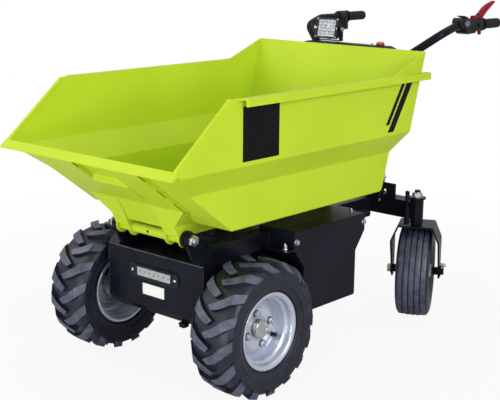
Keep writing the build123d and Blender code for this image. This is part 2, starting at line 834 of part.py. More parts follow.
def switch_cluster():
    """Clamped switch housing on the left tube, ahead of the grip."""
    start = king_y + cluster_reach
    end = start + cluster_l
    shell = block(grip_x - cluster_half, grip_x + cluster_half, start, end,
                  grip_z - cluster_low, grip_z + cluster_high)
    shell += block(grip_x - perch_half, grip_x + perch_half, end - perch_lap, end - perch_lap + perch_l,
                   grip_z - perch_low, grip_z + perch_high)
    return shell - rod_y(grip_x, start, end + perch_l, grip_z, bar_d / 2 + seat_gap)


def throttle_collar():
    """Thumb throttle housing on the right tube with its switch box below."""
    start = king_y + collar_reach
    box_start = start + switch_box_set
    collar = rod_y(-grip_x, start, start + collar_l, grip_z, collar_r)
    collar += block(-grip_x - switch_box_half, -grip_x + switch_box_half, box_start,
                    box_start + switch_box_l, grip_z - switch_box_low, grip_z - bar_d / 2)
    return collar - rod_y(-grip_x, start, start + 2 * collar_l, grip_z, bar_d / 2 + seat_gap)


def light_bar():
    """LED light bar on the front housing's face: its body and its lens."""
    half, half_h = bar_light_w / 2, bar_light_h / 2
    front = box_front - bar_light_t
    low, high = bar_light_z - half_h, bar_light_z + half_h
    sill = box_front - bar_light_t / 2
    lens_half, lens_h = bar_lens_w / 2, bar_lens_h / 2
    body = block(-half, half, front, box_front, low, high)
    body -= block(-lens_half, lens_half, front, sill, bar_light_z - lens_h, bar_light_z + lens_h)
    body += block(-half, half, front - bar_hood, front, high - bar_hood_t, high)
    lens_half -= glass_gap
    lens_h -= glass_gap
    lens = block(-lens_half, lens_half, front + glass_gap, sill, bar_light_z - lens_h,
                 bar_light_z + lens_h)
    return body, lens


# ---------------------------------------------------------------- front wheels
def tyre_outline(half, bead_r, crown_r, bead_half):
    """Section of a tyre's carcass in (x, radius), the same on both sides of its middle."""
    height = crown_r - bead_r
    right = [(bead_half, bead_r), (bead_half, bead_r + bead_depth + flange_gap)]
    right += [(half * across, bead_r + height * up) for across, up in carcass_ratios]
    return right + [(-x, r) for x, r in reversed(right)]


def lug():
    """One lug at the top of the wheel: a bent bar with a hooked inner end, its top face in
    two flats that follow the tread round."""
    half, tip = front_tyre_w / 2, front_tyre_d / 2
    bend = front_lug_bend
    middle = (lug_sweep + lug_hook) / 2
    reach = half + rim_sheet
    foot = [(reach, 0), (reach, lug_bar), (bend, lug_sweep), (0, lug_sweep + lug_hook),
            (-lug_cross, lug_sweep), (bend / 3, lug_sweep - lug_hook), (bend * 1.6, lug_bar / 2)]
    bar_shape = plan_prism([(x, middle - s) for x, s in foot], 0, tip)
    step = degrees(middle / 2 / tip)
    top = tip * cos(radians(step))
    edge = [(-lug_cross, top - lug_height - lug_root), (-lug_cross, top)]
    edge += [(half * across, top - down) for across, down in zip(tread_ratios, tread_drops)]
    flat = front_prism(edge, -front_tyre_w, front_tyre_w)
    return bar_shape & (Rot(step, 0, 0) * flat) & (Rot(-step, 0, 0) * flat)


def front_tyre():
    """Lug tyre about X: a carcass with two rows of hooked lugs set half a pitch apart."""
    crown = front_tyre_d / 2 - lug_height
    bead = front_rim_d / 2 - bead_depth + seat_gap
    bead_half = front_rim_w / 2 - rim_sheet - seat_gap
    section = tyre_outline(front_tyre_w / 2 - lug_side, bead, crown, bead_half)
    carcass = faceted(section, tyre_sides)
    outer = lug()
    inner = mirror(outer, Plane.YZ)
    pitch = 360 / lugs_per_row
    lugs = []
    for i in range(lugs_per_row):
        lugs.append(Rot(lug_phase + i * pitch, 0, 0) * outer)
        lugs.append(Rot(lug_phase + (i - 0.5) * pitch, 0, 0) * inner)
    return carcass.fuse(*lugs)


def rim_barrel(width, edge, well_half, well):
    """Rolled rim about X with flanges, bead seats and a drop centre."""
    half = width / 2
    lip = half - rim_sheet
    seat = edge - bead_depth
    drop = seat - well
    slope = well * 2 / 3
    outer = [(lip, edge), (lip, seat), (well_half + slope, seat), (well_half, drop)]
    inner = [(well_half + rim_sheet / 2, drop - rim_sheet),
             (well_half + slope + rim_sheet / 2, seat - rim_sheet), (half, seat - rim_sheet),
             (half, edge)]
    return turned(outer + [(-x, r) for x, r in reversed(outer)]
                  + [(-x, r) for x, r in reversed(inner)] + inner)


def front_rim():
    """Pressed steel rim about X: flanged barrel and a dished disc with raised nut pads."""
    edge = front_rim_d / 2
    drop = edge - bead_depth - rim_well
    face, back = disc_offset, disc_offset - disc_t
    bore = hub_cap_r + seat_gap
    rim = rim_barrel(front_rim_w, edge, front_well_half, rim_well)
    rim += turned([(face, bore), (face, dish_r), (dish_foot, drop - rim_sheet / 2),
                   (dish_foot - disc_t, drop - rim_sheet / 2), (back, dish_r - disc_t), (back, bore)])
    stud = bolt_circle / 2
    holes = []
    for i in range(bolts_per_wheel):
        turn = Rot(bolt_phase + i * 360 / bolts_per_wheel, 0, 0)
        pad = Pos(face + pad_t / 2, 0, 0) * Rot(0, 90, 0) * Cylinder(nut_across * 0.8, pad_t)
        rim += turn * Pos(0, stud, 0) * pad
        holes.append(turn * rod_x(0, front_rim_w, stud, 0, stud_d / 2 + seat_gap))
    return rim.cut(*holes)


def front_hub():
    """Hub about X: drum bored for the spindle, nose through the disc, studs and nuts."""
    face = disc_offset - disc_t
    seat = face - hub_flange_t
    bore = spindle_d / 2 + running_fit
    hub = turned([(-hub_back, bore), (-hub_back, hub_drum_r), (seat - hub_taper, hub_drum_r),
                  (seat, hub_flange_r), (face, hub_flange_r), (face, hub_cap_r),
                  (hub_reach, hub_cap_r), (hub_reach, 0), (hub_floor, 0), (hub_floor, bore)])
    stud = bolt_circle / 2
    nut_x_at = disc_offset + pad_t
    for i in range(bolts_per_wheel):
        turn = Rot(bolt_phase + i * 360 / bolts_per_wheel, 0, 0)
        hub += turn * rod_x(seat, nut_x_at + nut_h + stud_d / 3, stud, 0, stud_d / 2)
        hub += turn * nut_x(nut_x_at, nut_h, stud, 0, nut_across)
    return hub


# ---------------------------------------------------------------- casters
def caster_tyre():
    """Plain-shouldered caster tyre about X."""
    bead = caster_rim_d / 2 - bead_depth + seat_gap
    bead_half = caster_rim_w / 2 - rim_sheet - seat_gap
    section = tyre_outline(caster_tyre_w / 2, bead, caster_tyre_d / 2, bead_half)
    return faceted(section, tyre_sides)


def caster_rim():
    """Steel caster rim about X with a disc and a hub tube."""
    edge = caster_rim_d / 2
    drop = edge - bead_depth - caster_well
    rim = rim_barrel(caster_rim_w, edge, caster_well_half, caster_well)
    half_disc = disc_t / 2
    tube = caster_hub_d / 2
    rim += turned([(half_disc, 0), (half_disc, drop - rim_sheet / 2),
                   (-half_disc, drop - rim_sheet / 2), (-half_disc, 0)])
    rim += rod_x(-caster_hub_w / 2, caster_hub_w / 2, 0, 0, tube)
    return rim - rod_x(-caster_hub_w, caster_hub_w, 0, 0, caster_bolt_d / 2 + running_fit)


def caster_fork():
    """Bent strap fork in its own frame: king pin at the origin, trailing along +Y."""
    leg_low = caster_z - fork_under
    shoulder = fork_top - fork_drop
    line = [(-fork_half, leg_low), (-fork_half, shoulder), (-fork_flat, fork_top),
            (fork_flat, fork_top), (fork_half, shoulder), (fork_half, leg_low)]
    bent = front_prism(strip(line, -fork_t), -fork_rear, 2 * fork_rear)
    side = side_prism([(-fork_front, shoulder), (-fork_front, fork_top), (fork_rear, fork_top),
                       (fork_rear, shoulder), (caster_trail + fork_eye, caster_z),
                       (caster_trail + fork_foot, leg_low), (caster_trail - fork_foot, leg_low),
                       (caster_trail - fork_eye, caster_z)], -fork_half, fork_half)
    fork = bent & side
    fork -= rod_x(-fork_half, fork_half, caster_trail, caster_z, caster_bolt_d / 2 + running_fit)
    fork += rod_z(0, 0, fork_top - fork_t / 2, cap_top + king_pin_rise, king_pin_d / 2)
    fork += rod_z(0, 0, fork_top - fork_t / 2, housing_low - glass_gap, thrust_r)
    nut = extrude(RegularPolygon(king_nut_across / 2, 6, major_radius=False), king_nut_h)
    return fork + Pos(0, 0, cap_top + stop_gap) * nut


def caster_axle():
    """Axle bolt with its head, nut, washers and spacers, in the fork's frame."""
    place = (caster_trail, caster_z)
    inner = fork_half - fork_t
    end = fork_half + washer_t + bolt_head_t
    axle = rod_x(-end - pin_thread, end, *place, caster_bolt_d / 2)
    axle += nut_x(-end, bolt_head_t, *place, bolt_head_across)
    axle += nut_x(fork_half + washer_t, bolt_head_t, *place, bolt_head_across)
    for side in (-1, 1):
        washer = sorted((side * fork_half, side * (fork_half + washer_t)))
        spacer = sorted((side * (caster_hub_w / 2 + spacer_gap), side * inner))
        axle += rod_x(*washer, *place, caster_washer_r)
        axle += rod_x(*spacer, *place, spacer_r)
    return axle


def set_caster(shape, side):
    """A fork-frame shape at its king pin, turned to its resting angle."""
    return Pos(side * pin_x, king_y, 0) * Rot(0, 0, side * caster_angle) * shape


def set_front(shape, side):
    """A wheel-frame shape at its front wheel place, outer face outwards."""
    solid = shape if side > 0 else mirror(shape, Plane.YZ)
    return Pos(side * wheel_x, 0, axle_z) * solid


# ---------------------------------------------------------------- writing
os.makedirs("parts", exist_ok=True)

lamp_body, lamp_lens, lamp_stirrup = work_lamp()
bar_body, bar_lens = light_bar()
nodes = {
    "hopper_tub": hopper_tub(),
    "hopper_rims": hopper_rims(),
    "rear_guard": rear_guard(),
    "tilt_channels": tilt_channels(),
    "pivot_tube": pivot_tube(),
    "chute_stiffener": chute_brace(),
    "main_frame": main_frame(),
    "pivot_pin": pivot_pin(),
    "axle_box": axle_box(),
    "axle_stubs": axle_stubs(),
    "battery_case": battery_case(),
    "side_covers": side_covers(),
    "hopper_buffers": hopper_buffers(),
    "rear_crossbar": rear_crossbar(),
    "lock_pins": lock_pins(),
    "lashing_plates": lashing_plates(),
    "handlebar_frame": handlebar_frame(),
    "grips": grips(),
    "console": console(),
    "emergency_stop": emergency_stop(),
    "work_lamp": lamp_body,
    "work_lamp_lens": lamp_lens,
    "work_lamp_bracket": lamp_stirrup,
    "brake_lever": brake_lever(),
    "switch_cluster": switch_cluster(),
    "throttle_collar": throttle_collar(),
    "light_bar": bar_body,
    "light_bar_lens": bar_lens,
}
tyre, rim, hub = front_tyre(), front_rim(), front_hub()
roller, roller_rim, fork, pin = caster_tyre(), caster_rim(), caster_fork(), caster_axle()
wheel_place = Pos(0, caster_trail, caster_z)
for name, side in (("left", 1), ("right", -1)):
    nodes[f"front_tyre_{name}"] = set_front(tyre, side)
    nodes[f"front_rim_{name}"] = set_front(rim, side)
    nodes[f"front_hub_{name}"] = set_front(hub, side)
    nodes[f"caster_fork_{name}"] = set_caster(fork, side)
    nodes[f"caster_axle_{name}"] = set_caster(pin, side)
    nodes[f"caster_tyre_{name}"] = set_caster(wheel_place * roller, side)
    nodes[f"caster_rim_{name}"] = set_caster(wheel_place * roller_rim, side)

for node, shape in nodes.items():
    write(node, shape)
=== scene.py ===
# %% [markdown]
# # A walk-behind site dumper, dressed for a studio view
# The solid model fixes every size and every joint. This lesson loads it as a frame,
# gives each part the finish of the real machine, and adds what a solid model leaves
# out: tread detail, fasteners, weld beads, lenses and small fittings.

# %% Load the frame
import json
from math import ceil, cos, pi, radians, sin

import bmesh
import bpy
from mathutils import Matrix, Vector


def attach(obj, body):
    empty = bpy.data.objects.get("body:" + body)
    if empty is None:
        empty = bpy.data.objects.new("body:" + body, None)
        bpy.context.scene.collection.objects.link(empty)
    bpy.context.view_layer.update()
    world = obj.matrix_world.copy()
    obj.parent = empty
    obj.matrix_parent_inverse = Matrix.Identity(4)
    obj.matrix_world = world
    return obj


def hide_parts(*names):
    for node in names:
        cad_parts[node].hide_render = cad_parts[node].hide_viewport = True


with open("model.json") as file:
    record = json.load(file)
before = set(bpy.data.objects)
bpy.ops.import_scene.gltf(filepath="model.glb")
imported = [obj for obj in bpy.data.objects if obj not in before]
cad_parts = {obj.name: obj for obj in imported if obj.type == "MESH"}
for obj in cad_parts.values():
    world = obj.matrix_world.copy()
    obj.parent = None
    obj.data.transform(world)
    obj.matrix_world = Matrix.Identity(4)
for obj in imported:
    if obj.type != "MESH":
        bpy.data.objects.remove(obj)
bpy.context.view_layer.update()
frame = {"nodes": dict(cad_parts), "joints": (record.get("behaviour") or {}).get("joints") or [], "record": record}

scene = bpy.context.scene
scene.view_settings.view_transform = "Standard"
solids = frame["nodes"]
joints = {joint["name"]: Vector(joint["pos_m"]) for joint in frame["joints"]}
SIDES = (("left", 1), ("right", -1))
MM = 0.001
print(len(solids), "solids and", len(joints), "joints loaded")

# %% [markdown]
# ## The camera
# A product picture of a machine is taken with a longish lens from a few metres off,
# so that parallel edges stay nearly parallel. The camera stands in front of the
# machine and to its left, a little above the load space, and looks slightly down.

# %% Place the camera
AZIMUTH, ELEVATION, ROLL = radians(41.7), radians(13.0), radians(0.5)
CAMERA_PLACE = Vector((2.274, -2.727, 1.269))
SENSOR_MM, LENS_MM = 36.0, 79.4
SHIFT = (0.010, -0.003)

back = Vector((sin(AZIMUTH) * cos(ELEVATION), -cos(AZIMUTH) * cos(ELEVATION), sin(ELEVATION)))
right = Vector((cos(AZIMUTH), sin(AZIMUTH), 0.0))
up = back.cross(right)
right, up = right * cos(ROLL) + up * sin(ROLL), up * cos(ROLL) - right * sin(ROLL)
camera = bpy.data.objects.new("camera", bpy.data.cameras.new("camera"))
scene.collection.objects.link(camera)
turned = Matrix((right, up, back)).transposed().to_4x4()
camera.matrix_world = Matrix.Translation(CAMERA_PLACE) @ turned
camera.data.sensor_width, camera.data.lens = SENSOR_MM, LENS_MM
camera.data.shift_x, camera.data.shift_y = SHIFT
scene.camera = camera
print("camera", round(CAMERA_PLACE.length, 2), "m from the middle of the machine's footprint")

# %% [markdown]
# ## Colours and shader nodes
# Paint charts and drawings give colours as sRGB hex values, and a renderer works with
# linear light, so one function turns one into the other. A second one adds a shader
# node with its settings and links, so that each material below reads as a short list.


# %% Helpers for materials
def linear(code):
    """An sRGB hex colour as linear red, green and blue, and full alpha."""
    parts = [int(code[i:i + 2], 16) / 255 for i in (1, 3, 5)]
    light = [c / 12.92 if c <= 0.04045 else ((c + 0.055) / 1.055) ** 2.4 for c in parts]
    return (*light, 1.0)


def add(tree, kind, sockets=None, links=None, **settings):
    """One shader node: settings by attribute, sockets by name or number, and links
    from other nodes' outputs."""
    made = tree.nodes.new(kind)
    for key, value in settings.items():
        setattr(made, key, value)
    for key, value in (sockets or {}).items():
        made.inputs[key].default_value = value
    for key, source in (links or {}).items():
        tree.links.new(source, made.inputs[key])
    return made


def new_material(name, colour, roughness, metallic=0.0, **sockets):
    """A material with one Principled shader. Returns the material, its tree and the shader."""
    made = bpy.data.materials.new(name)
    made.use_nodes = True
    shader = made.node_tree.nodes["Principled BSDF"]
    shader.inputs["Base Color"].default_value = linear(colour)
    shader.inputs["Roughness"].default_value = roughness
    shader.inputs["Metallic"].default_value = metallic
    for key, value in sockets.items():
        shader.inputs[key.replace("_", " ")].default_value = value
    made.diffuse_color = linear(colour)
    return made, made.node_tree, shader


def set_stops(node, *stops):
    """Fill a colour ramp with (place, hex colour) stops."""
    band = node.color_ramp
    while len(band.elements) < len(stops):
        band.elements.new(0.5)
    for element, (place, colour) in zip(band.elements, stops):
        element.position, element.color = place, linear(colour)


def surface(name, shades, roughness, metallic, patch_mm, grain_mm, depth_mm, shine=0.5, **sockets):
    """A finish of three shades in soft patches, with a fine raised grain. Roughness runs
    from its low to its high value with the patches. Sizes are those of one patch, one
    grain and the grain's depth."""
    # a noise texture's values lie mostly between these two
    low, high = 0.3, 0.7
    middle = shades[len(shades) // 2]
    made, tree, shader = new_material(name, middle, roughness[0], metallic,
                                      Specular_IOR_Level=shine, **sockets)
    place = add(tree, "ShaderNodeTexCoord").outputs["Object"]
    patch, grain = (add(tree, "ShaderNodeTexNoise", {"Scale": 1 / (size * MM), "Detail": detail},
                        {"Vector": place})
                    for size, detail in ((patch_mm, 4.0), (grain_mm, 2.0)))
    shade = add(tree, "ShaderNodeValToRGB", links={0: patch.outputs["Fac"]})
    step = (high - low) / (len(shades) - 1)
    set_stops(shade, *[(low + step * i, code) for i, code in enumerate(shades)])
    tree.links.new(shade.outputs["Color"], shader.inputs["Base Color"])
    gloss = add(tree, "ShaderNodeMapRange", {1: low, 2: high, 3: roughness[0], 4: roughness[1]},
                {0: patch.outputs["Fac"]})
    tree.links.new(gloss.outputs[0], shader.inputs["Roughness"])
    bump = add(tree, "ShaderNodeBump", {"Strength": 1.0, "Distance": depth_mm * MM},
               {"Height": grain.outputs["Fac"]})
    tree.links.new(bump.outputs["Normal"], shader.inputs["Normal"])
    return made


print("sRGB #808080 is", round(linear("#808080")[0], 3), "in linear light")

# %% [markdown]
# ## Studio floor and light
# Big soft boxes stand around the machine, as in a product studio: a key and two front
# boxes on the camera's left, a fill on its right and one overhead. The low front one
# lights the axle box under the hopper's chute. The sky is white to the camera and
# through clear covers, and the floor to the camera alone, so their white adds no glare.

# %% Build the studio
WHITE = {"Color": (1.0, 1.0, 1.0, 1.0), "Strength": 1.0}
FLOOR_HALF = 30
# the paper shows with the machine's shadow up to the first distance from the middle in
# metres, and is white from the second one on
PAPER_NEAR, PAPER_FAR, PAPER_GLOW = 0.9, 2.4, 0.91
world = bpy.data.worlds.new("studio")
world.use_nodes = True
scene.world = world
sky = world.node_tree
sky.nodes.clear()
path = add(sky, "ShaderNodeLightPath")
seen = add(sky, "ShaderNodeMath", operation="MAXIMUM",
           links={0: path.outputs["Is Camera Ray"], 1: path.outputs["Is Transmission Ray"]})
soft = add(sky, "ShaderNodeBackground", {"Color": linear("#F2F4F7"), "Strength": 0.6})
white = add(sky, "ShaderNodeBackground", WHITE)
mixed = add(sky, "ShaderNodeMixShader",
            links={0: seen.outputs[0], 1: soft.outputs[0], 2: white.outputs[0]})
add(sky, "ShaderNodeOutputWorld", links={"Surface": mixed.outputs[0]})

floor_mesh = bpy.data.meshes.new("floor")
corners = [(x * FLOOR_HALF, y * FLOOR_HALF, 0) for x, y in ((-1, -1), (1, -1), (1, 1), (-1, 1))]
floor_mesh.from_pydata(corners, [], [(0, 1, 2, 3)])
floor = bpy.data.objects.new("floor", floor_mesh)
scene.collection.objects.link(floor)

paper, tree, shader = new_material("studio_paper", "#CCCCCC", 0.9)
path = add(tree, "ShaderNodeLightPath")
place = add(tree, "ShaderNodeTexCoord").outputs["Object"]
reach = add(tree, "ShaderNodeVectorMath", links={0: place}, operation="LENGTH")
fade = add(tree, "ShaderNodeMapRange", {1: PAPER_NEAR, 2: PAPER_FAR, 3: PAPER_GLOW, 4: 1.0},
           {0: reach.outputs["Value"]})
seen = add(tree, "ShaderNodeMath", links={0: path.outputs["Is Camera Ray"], 1: fade.outputs[0]},
           operation="MULTIPLY")
glow = add(tree, "ShaderNodeEmission", WHITE)
mixed = add(tree, "ShaderNodeMixShader",
            links={0: seen.outputs[0], 1: shader.outputs[0], 2: glow.outputs[0]})
tree.links.new(mixed.outputs[0], tree.nodes["Material Output"].inputs["Surface"])
floor_mesh.materials.append(paper)

AIM = Vector((0.0, 0.0, 0.5))
# columns: name, place, size across and up, power in watts
SOFT_BOXES = [
    ("key", (-2.6, -2.2, 2.9), (2.2, 1.8), 30),
    ("front", (-1.2, -4.0, 1.6), (2.2, 1.2), 11),
    ("low front", (0.4, -3.6, 0.30), (2.4, 0.5), 36),
    ("fill", (4.0, -1.5, 2.0), (2.2, 2.0), 76),
    ("overhead", (0.0, 0.8, 3.8), (3.0, 3.0), 22),
]
for name, place, size, power in SOFT_BOXES:
    light = bpy.data.objects.new(name, bpy.data.lights.new(name, "AREA"))
    light.data.shape = "RECTANGLE"
    light.data.size, light.data.size_y = size
    light.data.energy = power
    scene.collection.objects.link(light)
    light.rotation_euler = (AIM - Vector(place)).to_track_quat("-Z", "Y").to_euler()
    light.location = place
print(len(SOFT_BOXES), "soft boxes")

# %% [markdown]
# ## Finishes
# The hopper and the chassis are folded steel sheet with a baked powder coat. Powder
# flows into a skin with a faint orange peel, a few millimetres from crest to crest. The
# black parts have a textured powder, whose grit is near a millimetre and is drawn a
# little coarser so that it shows. The tyres are carbon-black rubber, and the tops of the
# lugs and ribs are a lighter blue grey, a painted sheen. Rims have silver lacquer over steel, and
# the fasteners are zinc plated. The housings of the lamps and switches are moulded ABS
# with a spark-eroded grain, and the lamps' covers are clear polycarbonate.

# %% Mix the finishes
# columns: key, common name, shades, roughness from and to, metallic, size of a patch, of
# a grain and the grain's depth in mm, and the level of its mirror shine
FINISHES = [
    # satin, so the sheet's orange peel breaks up its highlights
    ("green_paint", "lime_powder_coat", ("#BED72E", "#C3DB32", "#C8DF38"), (0.36, 0.44), 0.0,
     260, 5, 0.012, 0.12),
    # a fine grit, which softens the highlights
    ("black_powder", "black_textured_powder_coat", ("#0E0F17", "#13151F", "#191B28"), (0.24, 0.32), 0.0,
     180, 2.2, 0.04, 0.14),
    # satin from the mould, and black with a cast of blue
    ("tyre_rubber", "vulcanised_tyre_rubber", ("#0F111E", "#161929", "#202338"), (0.34, 0.50), 0.0,
     35, 1.6, 0.08, 0.5),
    # painted blue-grey sheen in patches, on the tops of the lugs and ribs
    ("worn_rubber", "worn_tyre_rubber", ("#303347", "#42455C", "#585B72"), (0.34, 0.50), 0.0,
     24, 1.6, 0.08, 0.8),
    # metal under lacquer: pale, with soft reflections
    ("zinc_rim", "silver_lacquered_steel", ("#CCD2E0", "#D6DBE8", "#DFE4EF"), (0.26, 0.36), 0.7,
     60, 1.2, 0.012),
    # bare plating: sharper reflections that change from nut to nut
    ("zinc_bolt", "bright_zinc_plated_steel", ("#C4C6CA", "#D2D4D7", "#DCDDDF"), (0.20, 0.30), 1.0,
     8, 0.8, 0.008),
    # the mould's eroded grain leaves housings an even, soft black
    ("black_plastic", "moulded_abs", ("#0B0C0E", "#0F1012", "#131416"), (0.36, 0.46), 0.0,
     40, 0.9, 0.03, 0.35),
    # matt, with hardly a highlight
    ("grip_rubber", "moulded_grip_rubber", ("#0D0D0F", "#111113", "#161618"), (0.58, 0.70), 0.0,
     20, 1.0, 0.05, 0.35),
    # deep red, smooth and a little glossy
    ("red_plastic", "red_nylon", ("#8E0726", "#9A0A2B", "#A50E31"), (0.32, 0.40), 0.0,
     30, 1.0, 0.01, 0.18),
    # an oxide skin that still shines dully, as metal does
    ("black_steel", "blackened_steel", ("#222327", "#2A2B2F", "#323338"), (0.34, 0.44), 0.6,
     12, 0.9, 0.01),
    # flat and even, blacker than the powder coat
    ("vinyl", "black_vinyl_film", ("#0B0C0C", "#0E0F0F", "#111212"), (0.36, 0.42), 0.0,
     120, 3, 0.004, 0.1),
    # a paler line along a fold: a painted highlight
    ("worn_edge", "thin_powder_coat_on_a_fold", ("#4E5364", "#5C6174", "#6A7084"), (0.24, 0.32), 0.0,
     40, 2, 0.02, 0.5),
    # rough and dark: painted shade inside a slot
    ("weld_shadow", "unpainted_weld_slot", ("#42520F", "#4C5E12", "#566A16"), (0.6, 0.7), 0.0,
     8, 1, 0.02, 0.2),
    # clean white, with a faint sheen
    ("white_film", "white_polyester_film", ("#ECECE8", "#F1F1EE", "#F5F5F2"), (0.34, 0.42), 0.0,
     60, 3, 0.004),
    # mid grey, so the thumb switch stands out from its black housing
    ("grey_switch", "grey_moulded_switch", ("#5F6080", "#696B8B", "#737594"), (0.34, 0.42), 0.0,
     12, 1.0, 0.02),
    # a bright, warning red
    ("stop_red", "red_button_plastic", ("#C64343", "#D04B4B", "#D95555"), (0.30, 0.38), 0.0,
     20, 1.0, 0.01),
    # a pale yellowish chip, as an unlit white LED is
    ("phosphor", "led_phosphor", ("#9C9676", "#A8A284", "#B2AD92"), (0.4, 0.5), 0.0, 2, 0.5, 0.01),
    # metallised plastic that spreads its reflections
    ("reflector", "satin_reflector", ("#DCE0E4", "#E6E9EC", "#F0F2F4"), (0.26, 0.36), 0.6,
     10, 2, 0.004),
]
FINISH = {key: surface(*row) for key, *row in FINISHES}
# clear and very smooth, with a slight wave in its skin
FINISH["lamp_lens"] = surface("clear_polycarbonate", ("#EEF2F6", "#F3F6F9", "#F8FAFC"), (0.04, 0.07), 0.0,
                              30, 6, 0.004, Transmission_Weight=0.95, IOR=1.585)
slot_of = {entry["node"]: entry["material_slot"] for entry in frame["record"]["subparts"]}
for name, solid in solids.items():
    solid.data.materials.clear()
    solid.data.materials.append(FINISH[slot_of[name]])
print(len(FINISH), "finishes on", len(solids), "solids")

# %% [markdown]
# ## Building pieces
# Every piece below is made in bmesh from a few shapes: a ring turned about an axle, a
# prism from an outline, a hexagon nut and a rippled weld bead. One function turns the
# finished mesh into an object, gives it its finish, hangs it on the body it rides on and
# hides the solids it stands for.


# %% Helpers for pieces
SHARP, FOLD = radians(32), radians(30)
# turns a shape made about X so that it stands along Z, and so that it lies along Y
STAND, ALONG_Y = Matrix.Rotation(-pi / 2, 4, "Y"), Matrix.Rotation(pi / 2, 4, "Z")
# how far a head or washer is let into what it stands on, so that no gap shows
SUNK = 0.5 * MM


def piece(name, mesh, body, finish, replaced=(), bevel=0.0, flat=False):
    """An object from a bmesh, shaded smooth by angle, riding on a body. It stands for the
    solids in replaced, which it hides."""
    data = bpy.data.meshes.new(name)
    bmesh.ops.remove_doubles(mesh, verts=mesh.verts, dist=1e-6)
    bmesh.ops.recalc_face_normals(mesh, faces=mesh.faces)
    mesh.to_mesh(data)
    mesh.free()
    data.materials.append(FINISH[finish])
    made = bpy.data.objects.new(name, data)
    scene.collection.objects.link(made)
    if bevel:
        round_over = made.modifiers.new("edges", "BEVEL")
        round_over.width, round_over.segments, round_over.limit_method = bevel, 2, "ANGLE"
        round_over.angle_limit = FOLD
    if not flat:
        data.shade_smooth()
        data.set_sharp_from_angle(angle=SHARP)
    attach(made, body)
    if replaced:
        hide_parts(*replaced)
    return made


def ring(mesh, outline, steps, place=Matrix.Identity(4), closed=True):
    """Turn an outline in (x, radius) about X. Faces that end on the axis are triangles."""
    rows = []
    for i in range(steps):
        angle = 2 * pi * i / steps
        rows.append([mesh.verts.new(place @ Vector((x, r * sin(angle), r * cos(angle))))
                     for x, r in outline])
    count = len(outline) if closed else len(outline) - 1
    for near, far in zip(rows[-1:] + rows[:-1], rows):
        for j in range(count):
            k = (j + 1) % len(outline)
            corners = [near[j], near[k], far[k], far[j]]
            if not outline[j][1]:
                corners = corners[1:]
            elif not outline[k][1]:
                corners = [near[j], near[k], far[j]]
            mesh.faces.new(corners)


def prism(mesh, outline, low, high, place=Matrix.Identity(4)):
    """Run an outline in (x, y) from z low to z high."""
    bottom = [mesh.verts.new(place @ Vector((x, y, low))) for x, y in outline]
    top = [mesh.verts.new(place @ Vector((x, y, high))) for x, y in outline]
    mesh.faces.new(bottom[::-1])
    mesh.faces.new(top)
    for i in range(len(outline)):
        mesh.faces.new([bottom[i - 1], bottom[i], top[i], top[i - 1]])


def polygon(sides, radius, turn=0.0):
    """Points of a regular polygon."""
    angles = [2 * pi * i / sides + turn for i in range(sides)]
    return [(radius * cos(a), radius * sin(a)) for a in angles]


def aimed(point, axis):
    """A matrix that puts the origin at a point and +Z along an axis."""
    return Matrix.Translation(point) @ Vector(axis).to_track_quat("Z", "Y").to_matrix().to_4x4()


def screw(mesh, point, axis, across, height, washer=0.0, dome=False):
    """A hexagon or domed screw head on an optional washer, standing on a surface."""
    place = aimed(point, axis)
    lift = height * 0.2 if washer else 0.0
    if washer:
        prism(mesh, polygon(20, washer), -SUNK, lift, place)
    if dome:
        # shares of the height and of the radius, round the dome and into its socket
        profile = [(0.35, 1.0), (0.8, 0.75), (1.0, 0.4), (0.6, 0.36), (0.6, 0)]
        r = across / 2
        ring(mesh, [(-SUNK, 0), (-SUNK, r)] + [(lift + height * up, r * out) for up, out in profile],
             16, place @ STAND)
    else:
        prism(mesh, polygon(6, across / 3 ** 0.5), -SUNK, lift + height, place)
        prism(mesh, polygon(12, across * 0.28), lift, lift + height * 1.35, place)


def weld(mesh, points, width):
    """A bead along a line of points, whose ripples swell and narrow by turns."""
    for start, end in zip(points, points[1:]):
        run = (end - start).length
        ripples = max(3, ceil(run / (width * 0.45)))
        outline = [(run * i / ripples, 0.5 * width * (1.0 if i % 2 else 0.84))
                   for i in range(ripples + 1)]
        ring(mesh, [(0, 0)] + outline + [(run, 0)], 8, aimed(start, end - start) @ STAND, closed=False)


def mirrored(points):
    """A line of points on the machine's other side."""
    return [(-x, y, z) for x, y, z in points]


def flipped(outline):
    """The other half of an outline in (x, radius), from its end back to its start."""
    return [(-x, r) for x, r in reversed(outline)]


def sideways(side=1):
    """A turn that stands an outline upright, facing out on one side of the machine."""
    return Matrix(((0, 0, side, 0), (1, 0, 0, 0), (0, 1, 0, 0), (0, 0, 0, 1)))


front_axle = joints["front_wheel_left_roll"]
AY = front_axle.y
print("front axle at", [round(v, 4) for v in front_axle])

# %% [markdown]
# ## Front tyres
# The front tyres are traction tyres: a round carcass with two rows of bent, hooked lugs
# set half a pitch apart, so that mud is squeezed outwards as they roll. A texture could
# fake the lugs, but they shape the outline of the wheel, so each is a real block, bent
# round the carcass and rounded at its edges, as it comes out of the mould.

# %% Mould the front tyres
# tip radius, height of a lug over the carcass, and steps round a turned part
FRONT_R, LUG_H, FRONT_STEPS = 0.2028, 0.014, 96
LUGS, LUG_PHASE = 16, 52.2
# the lug's footprint in millimetres: across the tyre from its middle, and round it
LUG_FOOT = [(80, -16), (80, 19), (58, 42), (34, 59), (16, 67),
            (0, 72), (-15, 57), (7, 45), (30, 31), (54, 9)]
# its middle round the tyre, and where the shoulder and the outer edge begin across it
LUG_MIDDLE, SHOULDER, EDGE = 35, 70, 79
# a lug's flanks lean: its foot is longer than its top, and its top is narrower
FOOT_STRETCH, TOP_SHRINK = 1.06, 0.985
# the foot is let into the carcass, and at the outer end it runs down the side wall
FOOT_SUNK, WALL_X, WALL_DROP = 0.004, 0.073, 0.046
